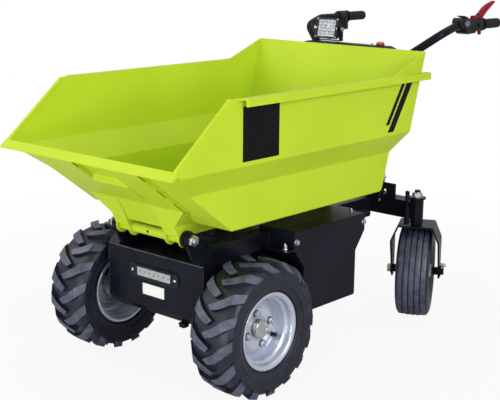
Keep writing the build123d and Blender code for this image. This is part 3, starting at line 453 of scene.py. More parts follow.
# profile of the tread across the tyre: place from the middle, depth under the tip
TREAD = [(0, 0), (30, 0.4), (45, 1.6), (58, 3.4), (66, 6), (73, 11), (78, 18), (80, 27), (80, 44)]
# outline of the carcass's outer half, bead to crown, in (x, radius)
CARCASS = [
    (0.0607, 0.1035), (0.0607, 0.1165), (0.0625, 0.1185), (0.0655, 0.1190), (0.0675, 0.1215),
    (0.0672, 0.1235), (0.0690, 0.1280), (0.0725, 0.1370), (0.0730, 0.1378), (0.0745, 0.1378),
    (0.0752, 0.1400), (0.0745, 0.1420), (0.0745, 0.1470), (0.0758, 0.1560), (0.0752, 0.1660),
    (0.0720, 0.1745), (0.0660, 0.1810), (0.0560, 0.1856), (0.0400, 0.1880), (0.0200, 0.1888),
    (0.0, 0.1890)]


def tread_drop(across):
    """Depth of the tread under the tip radius at a place across the tyre, in mm."""
    across = abs(across)
    for (a, low), (b, high) in zip(TREAD, TREAD[1:]):
        if across <= b:
            return low + (high - low) * (across - a) / (b - a)
    return TREAD[-1][1]


def lug_point(across, along, top):
    """A point of a lug's top or foot in the wheel's frame, bent round the tyre."""
    tip = FRONT_R - tread_drop(across) * MM
    run = (LUG_MIDDLE - along) * MM
    if top:
        x, radius = across * TOP_SHRINK * MM, tip
    elif across > EDGE:
        x, radius, run = WALL_X, FRONT_R - WALL_DROP, run * FOOT_STRETCH
    else:
        root = LUG_H + (FOOT_SUNK if abs(across) < SHOULDER else 0)
        x, radius, run = across * MM, tip - root, run * FOOT_STRETCH
    return Vector((x, radius * sin(run / FRONT_R), radius * cos(run / FRONT_R)))


def lug_block(mesh, place):
    """One lug from a row of points round its foot and a row round its top."""
    low, high = ([mesh.verts.new(place @ lug_point(across, along, top)) for across, along in LUG_FOOT]
                 for top in (False, True))
    for i in range(len(LUG_FOOT)):
        # only a lug's top carries the painted grey sheen: its flanks keep the black of the mould
        mesh.faces.new([low[i - 1], low[i], high[i], high[i - 1]]).material_index = 1
    # points that face each other across the lug, from its outer end to its hook
    pairs = [(0, 1), (9, 2), (8, 3), (7, 4), (6, 5)]
    for (a, b), (c, d) in zip(pairs, pairs[1:]):
        mesh.faces.new([high[a], high[b], high[d], high[c]])
        mesh.faces.new([low[b], low[a], low[c], low[d]])


def front_wheel_place(side):
    """From a front wheel's own frame, whose +X points out along its axle, to the machine's."""
    middle = Matrix.Translation((side * front_axle.x, AY, front_axle.z))
    return middle @ Matrix.Diagonal((side, 1, 1, 1))


for name, side in SIDES:
    place, body, tyre = front_wheel_place(side), f"front_wheel_{name}", (f"front_tyre_{name}",)
    mesh = bmesh.new()
    ring(mesh, CARCASS + flipped(CARCASS[:-1]), FRONT_STEPS, place)
    piece(f"front_carcass_{name}", mesh, body, "tyre_rubber", tyre)
    mesh = bmesh.new()
    for i in range(LUGS):
        turn = radians(LUG_PHASE + i * 360 / LUGS)
        lug_block(mesh, place @ Matrix.Rotation(turn, 4, "X"))
        # the inner row is a mirror image of the outer one, half a pitch on
        half_on = Matrix.Rotation(turn - pi / LUGS, 4, "X")
        lug_block(mesh, place @ half_on @ Matrix.Diagonal((-1, 1, 1, 1)))
    # the lugs' tops take the lighter rubber, a painted sheen
    made = piece(f"front_lugs_{name}", mesh, body, "worn_rubber", tyre, bevel=0.0016)
    made.data.materials.append(FINISH["tyre_rubber"])
print(2 * LUGS, "lugs on each front tyre,", round(2 * pi * FRONT_R / LUGS / MM), "mm apart in a row")

# %% [markdown]
# ## Caster tyres
# The casters run on ribbed tyres: straight grooves keep them tracking while the machine
# is pushed, and they swivel without scrubbing. The ribs' tops carry a painted grey sheen and the
# rest stays dark, so each rib is a ring of its own let into a smooth tyre.

# %% Mould the caster tyres
# the crown falls by its drop at CROWN_HALF from the middle
CASTER_R, CROWN_HALF, CROWN_DROP, CASTER_STEPS = 0.1600, 0.047, 0.0032, 112
GROOVES, GROOVE_HALF, GROOVE_DEPTH = (-0.030, -0.010, 0.010, 0.030), 0.0021, 0.0045
# the outer ribs end here; each rib's root is under the grooves' floor
TREAD_HALF, RIB_ROOT = 0.0478, 0.0075
# the wheel trails behind its king pin, and the caster stands swung out from straight
CASTER_TURN, TRAIL, CASTER_Z = radians(27.6), 0.055, 0.160
caster_pin = joints["caster_left_swivel"]


def crown_radius(across):
    """Radius of the ribs' tops at a distance from the tyre's middle."""
    return CASTER_R - CROWN_DROP * (across / CROWN_HALF) ** 2


def caster_outline():
    """Outline of the smooth tyre in (x, radius), from bead to bead."""
    side = [(0.0387, 0.0733), (0.0387, 0.0863), (0.0410, 0.0885), (0.0440, 0.0890), (0.0462, 0.0912),
            (0.0500, 0.0985), (0.0535, 0.1060), (0.0545, 0.1066), (0.0556, 0.1080), (0.0553, 0.1100),
            (0.0568, 0.1180), (0.0574, 0.1270), (0.0568, 0.1360), (0.0545, 0.1450), (0.0510, 0.1518),
            (0.0470, 0.1545)]
    floor_x = (0.04, 0.02, 0.0, -0.02, -0.04)
    return side + [(x, crown_radius(x) - GROOVE_DEPTH) for x in floor_x] + flipped(side)


def rib_side(x, inwards):
    """A rib's flank at x, from its root to its rounded edge."""
    top = crown_radius(x)
    return [(x, top - RIB_ROOT), (x, top - 0.0008), (x + inwards * 0.0012, top)]


def caster_place(side):
    """From a caster's own frame, with its king pin at the origin, to the machine's."""
    pin = Matrix.Translation((side * caster_pin.x, caster_pin.y, 0))
    return pin @ Matrix.Rotation(side * CASTER_TURN, 4, "Z")


def caster_wheel_place(side):
    """From a caster wheel's own frame, with its axle along X, to the machine's."""
    return caster_place(side) @ Matrix.Translation((0, TRAIL, CASTER_Z))


for name, side in SIDES:
    place, body, tyre = caster_wheel_place(side), f"caster_wheel_{name}", (f"caster_tyre_{name}",)
    mesh = bmesh.new()
    ring(mesh, caster_outline(), CASTER_STEPS, place)
    piece(f"caster_rubber_{name}", mesh, body, "tyre_rubber", tyre)
    mesh = bmesh.new()
    edges = [-TREAD_HALF] + [g + s * GROOVE_HALF for g in GROOVES for s in (-1, 1)] + [TREAD_HALF]
    for low, high in zip(edges[::2], edges[1::2]):
        middle = (low + high) / 2
        top = [(middle, crown_radius(middle))]
        ring(mesh, rib_side(low, 1) + top + rib_side(high, -1)[::-1], CASTER_STEPS, place)
    # the ribs' tops take the lighter rubber, a painted sheen
    piece(f"caster_ribs_{name}", mesh, body, "worn_rubber", tyre)
print(len(GROOVES), "grooves round each caster tyre")

# %% [markdown]
# ## Rims and hubs
# The front rims are pressed from sheet: a rolled barrel with flanges and a dished disc.
# Pressing leaves soft radii everywhere, so the outline has many short steps instead of
# corners. The nuts stand on two raised pads that join them in pairs, and a rubber valve
# leans out of the dish.

# %% Press the front rims
def rim_outline():
    """Outline of the barrel in (x, radius): outside along the tyre, back along the inside."""
    outer = [(0.0610, 0.1132), (0.0610, 0.1045), (0.0595, 0.1030), (0.0420, 0.1028), (0.0385, 0.0985),
             (0.0355, 0.0945), (0.0330, 0.0940)]
    inner = [(0.0345, 0.0900), (0.0385, 0.0910), (0.0425, 0.0975), (0.0450, 0.0990), (0.0560, 0.0996),
             (0.0600, 0.1010), (0.0625, 0.1035), (0.0640, 0.1070), (0.0648, 0.1100), (0.0650, 0.1120),
             (0.0642, 0.1136), (0.0628, 0.1141)]
    return outer + flipped(outer) + flipped(inner) + inner


# outlines in (x, radius) of the dished disc, the hub, its dark seal and the valve
DISH = [(0.0172, 0.0238), (0.0170, 0.0300), (0.0170, 0.0640), (0.0160, 0.0675), (0.0125, 0.0715),
        (0.0080, 0.0770), (0.0045, 0.0830), (0.0025, 0.0885), (0.0020, 0.0925), (-0.0030, 0.0925),
        (-0.0025, 0.0870), (0.0030, 0.0765), (0.0075, 0.0705), (0.0105, 0.0660), (0.0120, 0.0620),
        (0.0120, 0.0238)]
HUB = [(-0.046, 0.0155), (-0.046, 0.040), (-0.044, 0.042), (-0.003, 0.042), (0.002, 0.060),
       (0.0115, 0.060), (0.0115, 0.0262), (0.0180, 0.0268), (0.0330, 0.0268), (0.0352, 0.0248),
       (0.0352, 0.0205), (0.0335, 0.0195), (0.0335, 0.0)]
SEAL = [(0.0180, 0.0264), (0.0185, 0.0276), (0.0205, 0.0276), (0.0210, 0.0264)]
VALVE = [(0, 0), (0, 0.0075), (0.006, 0.0055), (0.022, 0.0045), (0.0225, 0.0055), (0.032, 0.0055),
         (0.033, 0.0045), (0.033, 0)]
VALVE_R, VALVE_X, VALVE_TURN = 0.082, 0.006, radians(-28)
STUD_R, STUDS, STUD_PHASE = 0.049, 4, 15.0
# the pads: inner and outer radius, faces along the axle, reach past a stud in degrees
PAD_R, PAD_FACES, PAD_REACH, PAD_STEPS = (0.0345, 0.0625), (0.0165, 0.0212), 17, 14
# along the axle: the washers under the nuts, and the nuts
WASHER_X, NUT_X = 0.0210, 0.0226


def at_stud(i, x):
    """Place of a stud on a wheel: x along the axle, at the stud circle."""
    angle = radians(STUD_PHASE + i * 360 / STUDS)
    return Vector((x, STUD_R * cos(angle), STUD_R * sin(angle)))


def pad_outline(first):
    """Raised pad that joins two nuts round the hub, as points in the wheel's plane."""
    start = radians(STUD_PHASE + first * 360 / STUDS - PAD_REACH)
    end = radians(STUD_PHASE + (first + 1) * 360 / STUDS + PAD_REACH)
    arc = [start + (end - start) * i / PAD_STEPS for i in range(PAD_STEPS + 1)]
    inner, outer = ([(r * cos(a), r * sin(a)) for a in arc] for r in PAD_R)
    return outer + inner[::-1]


for name, side in SIDES:
    place, body = front_wheel_place(side), f"front_wheel_{name}"
    rim, hub = (f"front_rim_{name}",), (f"front_hub_{name}",)
    outward = place.to_3x3() @ Vector((1, 0, 0))
    mesh = bmesh.new()
    ring(mesh, rim_outline(), FRONT_STEPS, place)
    ring(mesh, DISH, FRONT_STEPS, place)
    piece(f"front_rim_pressing_{name}", mesh, body, "zinc_rim", rim)
    mesh = bmesh.new()
    for first in (0, 2):
        prism(mesh, pad_outline(first), *PAD_FACES, place @ sideways())
    piece(f"front_rim_pads_{name}", mesh, body, "zinc_rim", rim, bevel=0.0016)
    mesh = bmesh.new()
    ring(mesh, HUB, 64, place, closed=False)
    piece(f"front_hub_turning_{name}", mesh, body, "zinc_bolt", hub)
    mesh = bmesh.new()
    ring(mesh, SEAL, 48, place)
    for i in range(STUDS):
        prism(mesh, polygon(24, 0.0114), 0.0, NUT_X - WASHER_X, aimed(place @ at_stud(i, WASHER_X), outward))
    piece(f"front_hub_cap_{name}", mesh, body, "black_steel", hub)
    mesh = bmesh.new()
    for i in range(STUDS):
        screw(mesh, place @ at_stud(i, NUT_X), outward, 0.018, 0.0090)
    piece(f"front_wheel_nuts_{name}", mesh, body, "zinc_bolt", hub, bevel=0.0005)
    mesh = bmesh.new()
    y, z = cos(VALVE_TURN), sin(VALVE_TURN)
    # the valve stands in the dish and leans in towards the hub
    lean = place.to_3x3() @ Vector((0.86, -0.5 * y, -0.5 * z))
    ring(mesh, VALVE, 20, aimed(place @ Vector((VALVE_X, VALVE_R * y, VALVE_R * z)), lean) @ STAND)
    piece(f"front_valve_{name}", mesh, body, "grip_rubber")
print("rims pressed,", STUDS, "nuts each on a circle of", round(2 * STUD_R / MM), "mm")

# %% [markdown]
# ## Caster rims and axles
# Each caster wheel turns on a bolt between the fork's legs. Its hub tube and the bearing
# covers show beside the disc, and the nut outside the fork leg stands on a dark washer.

# %% Turn the caster rims
# halves of outlines in (x, radius): the rim's outside and inside, and the hub with its disc
CASTER_LIP = [(0.0390, 0.0833), (0.0390, 0.0745), (0.0375, 0.0730), (0.0240, 0.0728), (0.0200, 0.0670),
              (0.0180, 0.0650)]
CASTER_INSIDE = [(0.0200, 0.0612), (0.0240, 0.0680), (0.0260, 0.0690), (0.0380, 0.0690), (0.0415, 0.0700),
                 (0.0428, 0.0720), (0.0430, 0.0815), (0.0420, 0.0836), (0.0405, 0.0840)]
CASTER_HUB = [(0.0520, 0.0101), (0.0520, 0.0210), (0.0500, 0.0230), (0.0080, 0.0230), (0.0030, 0.0290),
              (0.0025, 0.0600), (0.0050, 0.0640)]
for name, side in SIDES:
    mesh = bmesh.new()
    rim = CASTER_LIP + flipped(CASTER_LIP) + flipped(CASTER_INSIDE) + CASTER_INSIDE
    ring(mesh, rim, 80, caster_wheel_place(side))
    ring(mesh, CASTER_HUB + flipped(CASTER_HUB), 64, caster_wheel_place(side))
    piece(f"caster_rim_pressing_{name}", mesh, f"caster_wheel_{name}", "zinc_rim", (f"caster_rim_{name}",))
print("caster rims made")

# %% [markdown]
# ## Fasteners and weld beads
# Covers and lamps come off for service, so they are screwed; everything else is welded.
# The pivot pin carries a nut on a black washer at each end. A weld bead is a row of
# small overlapping ripples, so each bead is a turned outline that swells and narrows.


# %% Helpers for places
def at(x, y, z):
    """A place from millimetres: across, behind the front axle, and up."""
    return Vector((x * MM, AY + y * MM, z * MM))


def circle(x, y, z, radius, axis, steps=16):
    """Points round a tube, in millimetres, about the X or the Z axis."""
    points = []
    for i in range(steps + 1):
        a = 2 * pi * i / steps
        across, along = radius * cos(a), radius * sin(a)
        points.append((x, y + across, z + along) if axis == "X" else (x + across, y + along, z))
    return points


def rounded(half_w, half_h, radius, x=0.0, y=0.0, steps=4):
    """Outline of a rectangle with round corners, in metres from millimetres."""
    outline = []
    for cx, cy, start in ((1, 1, 0), (-1, 1, 90), (-1, -1, 180), (1, -1, 270)):
        for i in range(steps + 1):
            a = radians(start + 90 * i / steps)
            outline.append(((x + cx * (half_w - radius) + radius * cos(a)) * MM,
                            (y + cy * (half_h - radius) + radius * sin(a)) * MM))
    return outline


def facing(x, y, z, axis_x, axis_y):
    """A matrix at a place in millimetres, with its X and Y axes along two directions."""
    ax, ay = Vector(axis_x).normalized(), Vector(axis_y).normalized()
    return Matrix.Translation(at(x, y, z)) @ Matrix((ax, ay, ax.cross(ay))).transposed().to_4x4()


# %% Fit the screws
# columns: body, place in mm, direction, head across, height, washer radius, domed
SCREWS = [
    ("chassis", (297, 199, 411), (1, 0, 0), 14, 6, 9, False),
    ("chassis", (297, 534, 413), (1, 0, 0), 14, 6, 9, False),
    ("chassis", (251, 530, 442), (0, 0, 1), 10, 5, 7, False),
    ("chassis", (89, -101, 315), (0, -1, 0), 10, 3, 0, True),
    ("chassis", (99, 870, 428), (0, 0, 1), 13, 7, 10, False),
    ("chassis", (99, 898, 428), (0, 0, 1), 13, 7, 10, False),
    ("chassis", (50, 884, 835), (0, 1, 0), 10, 4, 7, True),
    ("chassis", (165, 880, 890), (0, 1, 0), 8, 3, 0, True),
    ("chassis", (60, 880, 890), (0, 1, 0), 8, 3, 0, True),
    ("hopper", (280, 655, 539), (0, 1, -0.293), 13, 12, 10, False),
]
for body in ("chassis", "hopper"):
    mesh = bmesh.new()
    for rides, (x, y, z), (ax, ay, az), across, height, washer, dome in SCREWS:
        for side in (1, -1) if rides == body else ():
            screw(mesh, at(side * x, y, z), (side * ax, ay, az), across * MM, height * MM, washer * MM, dome)
    piece(f"screws_{body}", mesh, body, "zinc_bolt", bevel=0.0004)

# the pivot pin's ends across the machine, and its place behind the axle and up
PIN_END, PIVOT = 155, (-100, 450)
PIN_R, NUT_R = 0.0098, 0.01732
mesh, dark = bmesh.new(), bmesh.new()
for side in (1, -1):
    place = aimed(at(side * PIN_END, *PIVOT), (side, 0, 0))
    ring(dark, [(0, 0.0100), (0, 0.0205), (0.0026, 0.0212), (0.0036, 0.0205), (0.0036, 0.0100)], 40,
         place @ STAND)
    prism(mesh, polygon(6, NUT_R, pi / 6), 0.0034, 0.0160, place)
    ring(mesh, [(-PIN_END * MM, 0), (-PIN_END * MM, PIN_R), (0.0210, PIN_R), (0.0220, PIN_R - 0.001),
                (0.0220, 0)], 28, place @ STAND)
piece("pivot_nuts", mesh, "chassis", "zinc_bolt", ("pivot_pin",), bevel=0.0014)
piece("pivot_washers", dark, "chassis", "black_powder", ("pivot_pin",))

mesh = bmesh.new()
screw(mesh, at(-6, PIVOT[0] - 16.2, PIVOT[1]), (0, -1, 0), 0.008, 0.0022, dome=True)
piece("pivot_tube_setscrew", mesh, "hopper", "black_steel")
print(2 * len(SCREWS), "screws and a nut at each end of the pivot pin")

# %% Lay the weld beads
# columns: body, bead width in mm, line of places in mm, on both sides
BEADS = [
    ("chassis", 5, [(155, -84, 393), (155, -45, 431)]),
    ("chassis", 4, [(200.5, -70, 380.5), (200.5, -10, 380.5)]),
    ("chassis", 4, [(200.5, 30, 380.5), (200.5, 90, 380.5)]),
    ("chassis", 5, [(200.5, 189, 386), (200.5, 189, 428)]),
    ("chassis", 4, [(62, 849.5, 412.5), (98, 849.5, 412.5)]),
    ("chassis", 4, [(100.5, 849, 345), (100.5, 849, 410)]),
    ("chassis", 5, [(251, 850, 366), (251, 850, 418)]),
    ("chassis", 4, [(252, 869, 420.5), (252, 891, 420.5)]),
    ("chassis", 4, [(112, 853.5, 420.5), (196, 853.5, 420.5)]),
    ("chassis", 4, circle(120, 880, 428.5, 15, "Z")),
    ("chassis", 4, circle(105.5, 880, 790, 13, "X")),
    ("chassis", 4, [(62, 875.5, 796), (62, 875.5, 868)]),
    ("hopper", 4, circle(73.5, *PIVOT, 17, "X", 20)),
    ("hopper", 4, circle(132.5, *PIVOT, 17, "X", 20)),
    ("hopper", 4, [(78.5, -140, 489), (127.5, -140, 489)]),
]
for body, finish in (("chassis", "black_powder"), ("hopper", "green_paint")):
    mesh = bmesh.new()
    count = 0
    for rides, width, points in BEADS:
        if rides == body:
            for line in (points, mirrored(points)):
                weld(mesh, [at(*p) for p in line], width * MM)
                count += 1
    piece(f"weld_beads_{body}", mesh, body, finish)
    print(count, "beads on the", body)

# the chute's underside runs from its foot to its lip: y behind the axle, and z, in mm
(FOOT_Y, FOOT_Z), (LIP_Y, LIP_Z) = (-70, 492), (-355, 705.5)
# two pairs of channels stiffen it, and their webs lie this far below it
WEB_DROP, WEB_X = 13.5, (193, 74)


def chute_web(y):
    """Height of the channels' webs at a place behind the axle, in mm."""
    return FOOT_Z + (FOOT_Y - y) * (LIP_Z - FOOT_Z) / (FOOT_Y - LIP_Y) - WEB_DROP


# the plug welds' slots, where the channels' webs meet their plates, are dark strips of painted shade
SLOTS = [(WEB_X[0], -346, -308), (WEB_X[0], -269, -233), (WEB_X[0], -207, -160), (WEB_X[1], -346, -313)]
mesh = bmesh.new()
for x, front, rear in SLOTS:
    for side in (1, -1):
        middle = (front + rear) / 2
        run = at(side * x, rear, chute_web(rear)) - at(side * x, front, chute_web(front))
        place = facing(side * x, middle, chute_web(middle), (1, 0, 0), run)
        prism(mesh, rounded(0.5, run.length / MM / 2, 0.45), -0.0010, 0.0010, place)
piece("plug_weld_slots", mesh, "hopper", "weld_shadow")

# %% [markdown]
# ## Films and plates
# The hopper's sides carry black vinyl film: a square towards the front and two raked
# stripes at the back. They are plain here. A film is a tenth of a millimetre thick; it
# is drawn a little thicker, so that it has an edge that catches the light. The data
# plate on the front of the axle box is blank too.

# %% Lay the films
# the hopper's side wall, and its films as outlines in y behind the axle and z
WALL_SIDE = 0.350
FILMS = [rounded(75, 75, 1.5, -26, 776),
         [(0.648, 0.856), (0.666, 0.856), (0.580, 0.724), (0.562, 0.724)],
         [(0.674, 0.855), (0.706, 0.855), (0.605, 0.700), (0.573, 0.700)]]
for name, side in SIDES:
    mesh = bmesh.new()
    for outline in FILMS:
        prism(mesh, outline, -0.0001, 0.0003, Matrix.Translation((side * WALL_SIDE, AY, 0)) @ sideways(side))
    piece(f"hopper_films_{name}", mesh, "hopper", "vinyl", flat=True)
mesh = bmesh.new()
plate_face = facing(-4.5, -97, 264, (1, 0, 0), (0, 0, 1))
prism(mesh, rounded(45.5, 17, 2), -0.0001, 0.0008, plate_face)
piece("blank_plate", mesh, "chassis", "white_film", bevel=0.0002)

# %% Paint highlights on the axle box's folds
# thin paler rods along the edges of the axle box's face are a painted highlight on its folds
TOP_FOLD_R, SIDE_FOLD_R, SIDE_FOLD = 0.0009, 0.0003, (0.012, 0.160)
box = [solids["axle_box"].matrix_world @ v.co for v in solids["axle_box"].data.vertices]
face_y = min(p.y for p in box)
half, top = (max(p[k] for p in box if p.y < face_y + 0.5 * MM) for k in (0, 2))


def rod(radius, low, high):
    """Outline in (x, radius) of a round rod from low to high."""
    return [(low, 0), (low, radius), (high, radius), (high, 0)]


mesh = bmesh.new()
ring(mesh, rod(TOP_FOLD_R, -half, half), 12, Matrix.Translation((0, face_y, top)))
for side in (1, -1):
    # turned down from the corner of the face
    upright = Matrix.Translation((side * half, face_y, top)) @ Matrix.Rotation(pi / 2, 4, "Y")
    ring(mesh, rod(SIDE_FOLD_R, *SIDE_FOLD), 12, upright)
# the rods are paler than the black coat: a painted highlight
piece("fold_edges", mesh, "chassis", "worn_edge")
print(len(FILMS), "films a side, a blank plate, and folds", round(2 * half / MM), "mm wide")

# %% [markdown]
# ## Lamps
# Both lamps are LED lamps: each chip sits in a small square reflector, and one clear
# cover closes the window. Reflectors and chips are real shapes behind the cover, since
# the eye sees past it when the machine turns.


# %% Build the LED windows
def led_window(name, place, width, height, columns, rows, depth, replaced):
    """Reflector cells with a chip in each under a clear cover. Width and height are in mm,
    depth in metres from the recess's floor, and a cell's shapes are shares of the cell."""
    cups, chips, cover = bmesh.new(), bmesh.new(), bmesh.new()
    step_x, step_y = width / columns, height / rows
    for i in range(columns):
        for j in range(rows):
            x, y = (i + 0.5) * step_x - width / 2, (j + 0.5) * step_y - height / 2
            rim = rounded(step_x * 0.49, step_y * 0.49, step_x * 0.06, x, y, 1)
            foot = rounded(step_x * 0.27, step_y * 0.27, step_x * 0.10, x, y, 1)
            high = [cups.verts.new(place @ Vector((a, b, depth * 0.6))) for a, b in rim]
            low = [cups.verts.new(place @ Vector((a, b, 0.0003))) for a, b in foot]
            for k in range(len(rim)):
                cups.faces.new([low[k - 1], low[k], high[k], high[k - 1]])
            cups.faces.new(low)
            prism(chips, rounded(step_x * 0.15, step_y * 0.15, step_x * 0.03, x, y, 2), 0.0003,
                  depth * 0.3, place)
    edge = rounded(width / 2, height / 2, 1.0)
    prism(cups, edge, 0.0001, 0.0002, place)
    prism(cover, edge, depth * 0.70, depth * 0.95, place)
    piece(f"{name}_reflectors", cups, "chassis", "reflector", (replaced,), flat=True)
    piece(f"{name}_chips", chips, "chassis", "phosphor", (replaced,), flat=True)
    piece(f"{name}_cover", cover, "chassis", "lamp_lens", (replaced,), bevel=0.0002)


BAR_CELLS, LAMP_CELLS = (7, 1), (4, 3)
bar_window = facing(0, -99, 315, (1, 0, 0), (0, 0, 1))
led_window("light_bar", bar_window, 141, 26, *BAR_CELLS, 0.0019, "light_bar_lens")
# the work lamp is tipped back, and its cells sit in a recess behind its face
LAMP_TILT, LAMP_RECESS = radians(12), 0.004
lamp_face = facing(-117, 856, 984, (1, 0, 0), (0, sin(LAMP_TILT), cos(LAMP_TILT)))
led_window("work_lamp", lamp_face @ Matrix.Translation((0, 0, -LAMP_RECESS)), 73.4, 59.4, *LAMP_CELLS,
           0.0036, "work_lamp_lens")

mesh = bmesh.new()
outward = lamp_face.to_3x3() @ Vector((0, 0, 1))
for x in (-0.043, 0.043):
    for y in (-0.031, 0, 0.031):
        screw(mesh, lamp_face @ Vector((x, y, 0)), outward, 0.0070, 0.0020, dome=True)
for side in (1, -1):
    screw(mesh, lamp_face @ Vector((side * 0.054, 0, -0.016)), (side, 0, 0), 0.013, 0.005, 0.008)
screw(mesh, at(-117, 872, 943), (0, 0, 1), 0.013, 0.006, 0.009)
piece("work_lamp_screws", mesh, "chassis", "zinc_bolt")

# the bar's backing plate has round corners, and a raised rim shades its window
mesh = bmesh.new()
window = rounded(71, 13.5, 1.5, steps=8)
plates = [(rounded(104, 22, 16, steps=8), -0.0018, 0.0020), (rounded(84, 21, 13, steps=8), 0.0020, 0.0034)]
for outline, low, high in plates:
    rows = [[mesh.verts.new(bar_window @ Vector((x, y, z))) for x, y in line]
            for line, z in ((window, low), (outline, low), (outline, high), (window, high))]
    for near, far in zip(rows, rows[1:] + rows[:1]):
        for k in range(len(near)):
            mesh.faces.new([near[k - 1], near[k], far[k], far[k - 1]])
hood = [(-0.084, 0.0185), (-0.078, 0.0215), (0.078, 0.0215), (0.084, 0.0185)]
prism(mesh, hood, 0.0020, 0.0060, bar_window)
piece("light_bar_plate", mesh, "chassis", "black_plastic", ("light_bar",), bevel=0.0006)
print("light bar and work lamp have", sum(a * b for a, b in (BAR_CELLS, LAMP_CELLS)), "LED cells")

# %% [markdown]
# ## Handlebar fittings
# Grips are moulded rubber sleeves with fine ribs round them. Ahead of the left grip sits
# a switch cluster, a perch for the brake lever and a small thumb switch; ahead of the
# right one a throttle collar with a switch box under it.

# %% Mould the grips
# the handlebar's grips in mm: place across, height, length, and where each one ends
BAR_X, BAR_Z, GRIP_LENGTH = 290, 1002, 112
GRIP_ENDS = {"left": 1325, "right": 1311}
# the bar's radius, the flange by the thumb, one rib and the rounded end, in (x, radius)
BAR_R = 0.0143
FLANGE = [(0, BAR_R), (0, 0.0210), (0.001, 0.0220), (0.007, 0.0220), (0.008, 0.0205), (0.010, 0.0172)]
RIB = [(0, 0.0163), (0.0008, 0.0170), (0.0036, 0.0170), (0.0044, 0.0163)]
GRIP_END = [(0.1060, 0.0168), (0.1090, 0.0165), (0.1110, 0.0150), (0.1120, 0.0120), (0.1120, 0),
            (0.1060, 0), (0.1060, BAR_R)]
GRIP_RIBS, FIRST_RIB, RIB_PITCH = 16, 0.013, 0.0056
sleeve = [(FIRST_RIB + i * RIB_PITCH + x, r) for i in range(GRIP_RIBS) for x, r in RIB]
for name, side in SIDES:
    mesh = bmesh.new()
    place = Matrix.Translation(at(side * BAR_X, GRIP_ENDS[name] - GRIP_LENGTH, BAR_Z)) @ ALONG_Y
    ring(mesh, FLANGE + sleeve + GRIP_END, 48, place)
    piece(f"grip_sleeve_{name}", mesh, "chassis", "grip_rubber", ("grips",))
print(GRIP_RIBS, "ribs round each grip")

# %% Fit the left controls
# outlines seen from the side, in y behind the axle and z, and their two faces across
side_view = facing(0, 0, 0, (0, 1, 0), (0, 0, 1))
mesh = bmesh.new()
# clamp block on the tube with a raked lid, and the lower half of the housing
prism(mesh, [(1.052, 0.996), (1.050, 1.022), (1.060, 1.030), (1.096, 1.028), (1.104, 0.996)], 0.270, 0.310,
      side_view)
prism(mesh, [(1.064, 1.034), (1.069, 1.038), (1.098, 1.031), (1.096, 1.027)], 0.280, 0.308, side_view)
prism(mesh, [(1.074, 0.994), (1.080, 0.980), (1.090, 0.974), (1.138, 0.976), (1.148, 0.983), (1.152, 1.000),
             (1.100, 1.022), (1.076, 1.008)], 0.267, 0.313, side_view)
# the lever's perch behind it, round on top
prism(mesh, [(1.096, 1.000), (1.100, 1.018), (1.110, 1.024), (1.196, 1.024), (1.203, 1.018), (1.205, 0.990),
             (1.198, 0.980), (1.160, 0.984), (1.140, 0.992)], 0.273, 0.307, side_view)
piece("cluster_housing", mesh, "chassis", "black_plastic", ("switch_cluster",), bevel=0.0026)
mesh = bmesh.new()
prism(mesh, rounded(13, 9.5, 8, 1080, 1011), 0.3100, 0.3165, side_view)
piece("thumb_switch", mesh, "chassis", "grey_switch", bevel=0.0012)
mesh = bmesh.new()
prism(mesh, rounded(2.2, 9.5, 1.1, 1124, 992), 0.3120, 0.3142, side_view)
prism(mesh, rounded(1.8, 7.5, 0.9, 1140, 998), 0.3120, 0.3138, side_view)
screw(mesh, at(307.2, 1170, 1001), (1, 0, 0), 0.012, 0.004, 0.008)
screw(mesh, at(BAR_X, 1186, 1034.2), (0, 0, 1), 0.012, 0.004, 0.008)
piece("cluster_clips", mesh, "chassis", "black_steel")
mesh = bmesh.new()
# the lever's safety catch under the perch
prism(mesh, [(1.190, 0.986), (1.204, 0.984), (1.206, 0.968), (1.198, 0.966)], 0.286, 0.296, side_view)
prism(mesh, rounded(7, 4, 2, 1156, 1024), 0.282, 0.298, side_view)
piece("lever_catch", mesh, "chassis", "red_plastic", bevel=0.0010)
# the lever itself is a forging: a flat blade with a rolled edge
LEVER = [(1.146, 1.0241), (1.2115, 1.0241), (1.2265, 1.0350), (1.2405, 1.0455), (1.2650, 1.0600),
         (1.2890, 1.0735), (1.2930, 1.0775), (1.2915, 1.0800), (1.2835, 1.0808), (1.2490, 1.0718),
         (1.2320, 1.0660), (1.2160, 1.0588), (1.1990, 1.0470), (1.1815, 1.0340), (1.146, 1.0340)]
mesh = bmesh.new()
prism(mesh, LEVER, 0.284, 0.296, side_view)
piece("brake_lever_blade", mesh, "chassis", "red_plastic", ("brake_lever",), bevel=0.0028)

# %% Fit the right controls
# outlines in (x, radius) of the collar's steel ring and of the shell behind it
COLLAR = [(0, BAR_R), (0, 0.0190), (0.0015, 0.0202), (0.0060, 0.0202), (0.0060, BAR_R)]
SHELL = [(0, BAR_R), (0, 0.0212), (0.0010, 0.0222), (0.0080, 0.0222), (0.0090, 0.0214), (0.0140, 0.0214),
         (0.0150, 0.0222), (0.0270, 0.0222), (0.0280, 0.0212), (0.0280, BAR_R)]
mesh = bmesh.new()
ring(mesh, COLLAR, 40, Matrix.Translation(at(-BAR_X, 1148, BAR_Z)) @ ALONG_Y)
piece("throttle_ring", mesh, "chassis", "black_steel")
mesh = bmesh.new()
ring(mesh, SHELL, 40, Matrix.Translation(at(-BAR_X, 1154, BAR_Z)) @ ALONG_Y)
# thumb paddle of the throttle, pointing down and inwards
paddle = facing(-268, 1170, 994, (0, 1, 0), (0.5, 0, -0.86))
prism(mesh, rounded(7, 17, 5), -0.0030, 0.0030, paddle)
piece("throttle_shell", mesh, "chassis", "black_plastic", bevel=0.0008)
mesh = bmesh.new()
box_face = facing(-277, 1189, 968, (0, 1, 0), (0, 0, 1))
prism(mesh, rounded(6.5, 6, 2), -0.001, 0.004, box_face)
piece("horn_button", mesh, "chassis", "red_plastic", bevel=0.0010)
print("controls fitted on both handles")

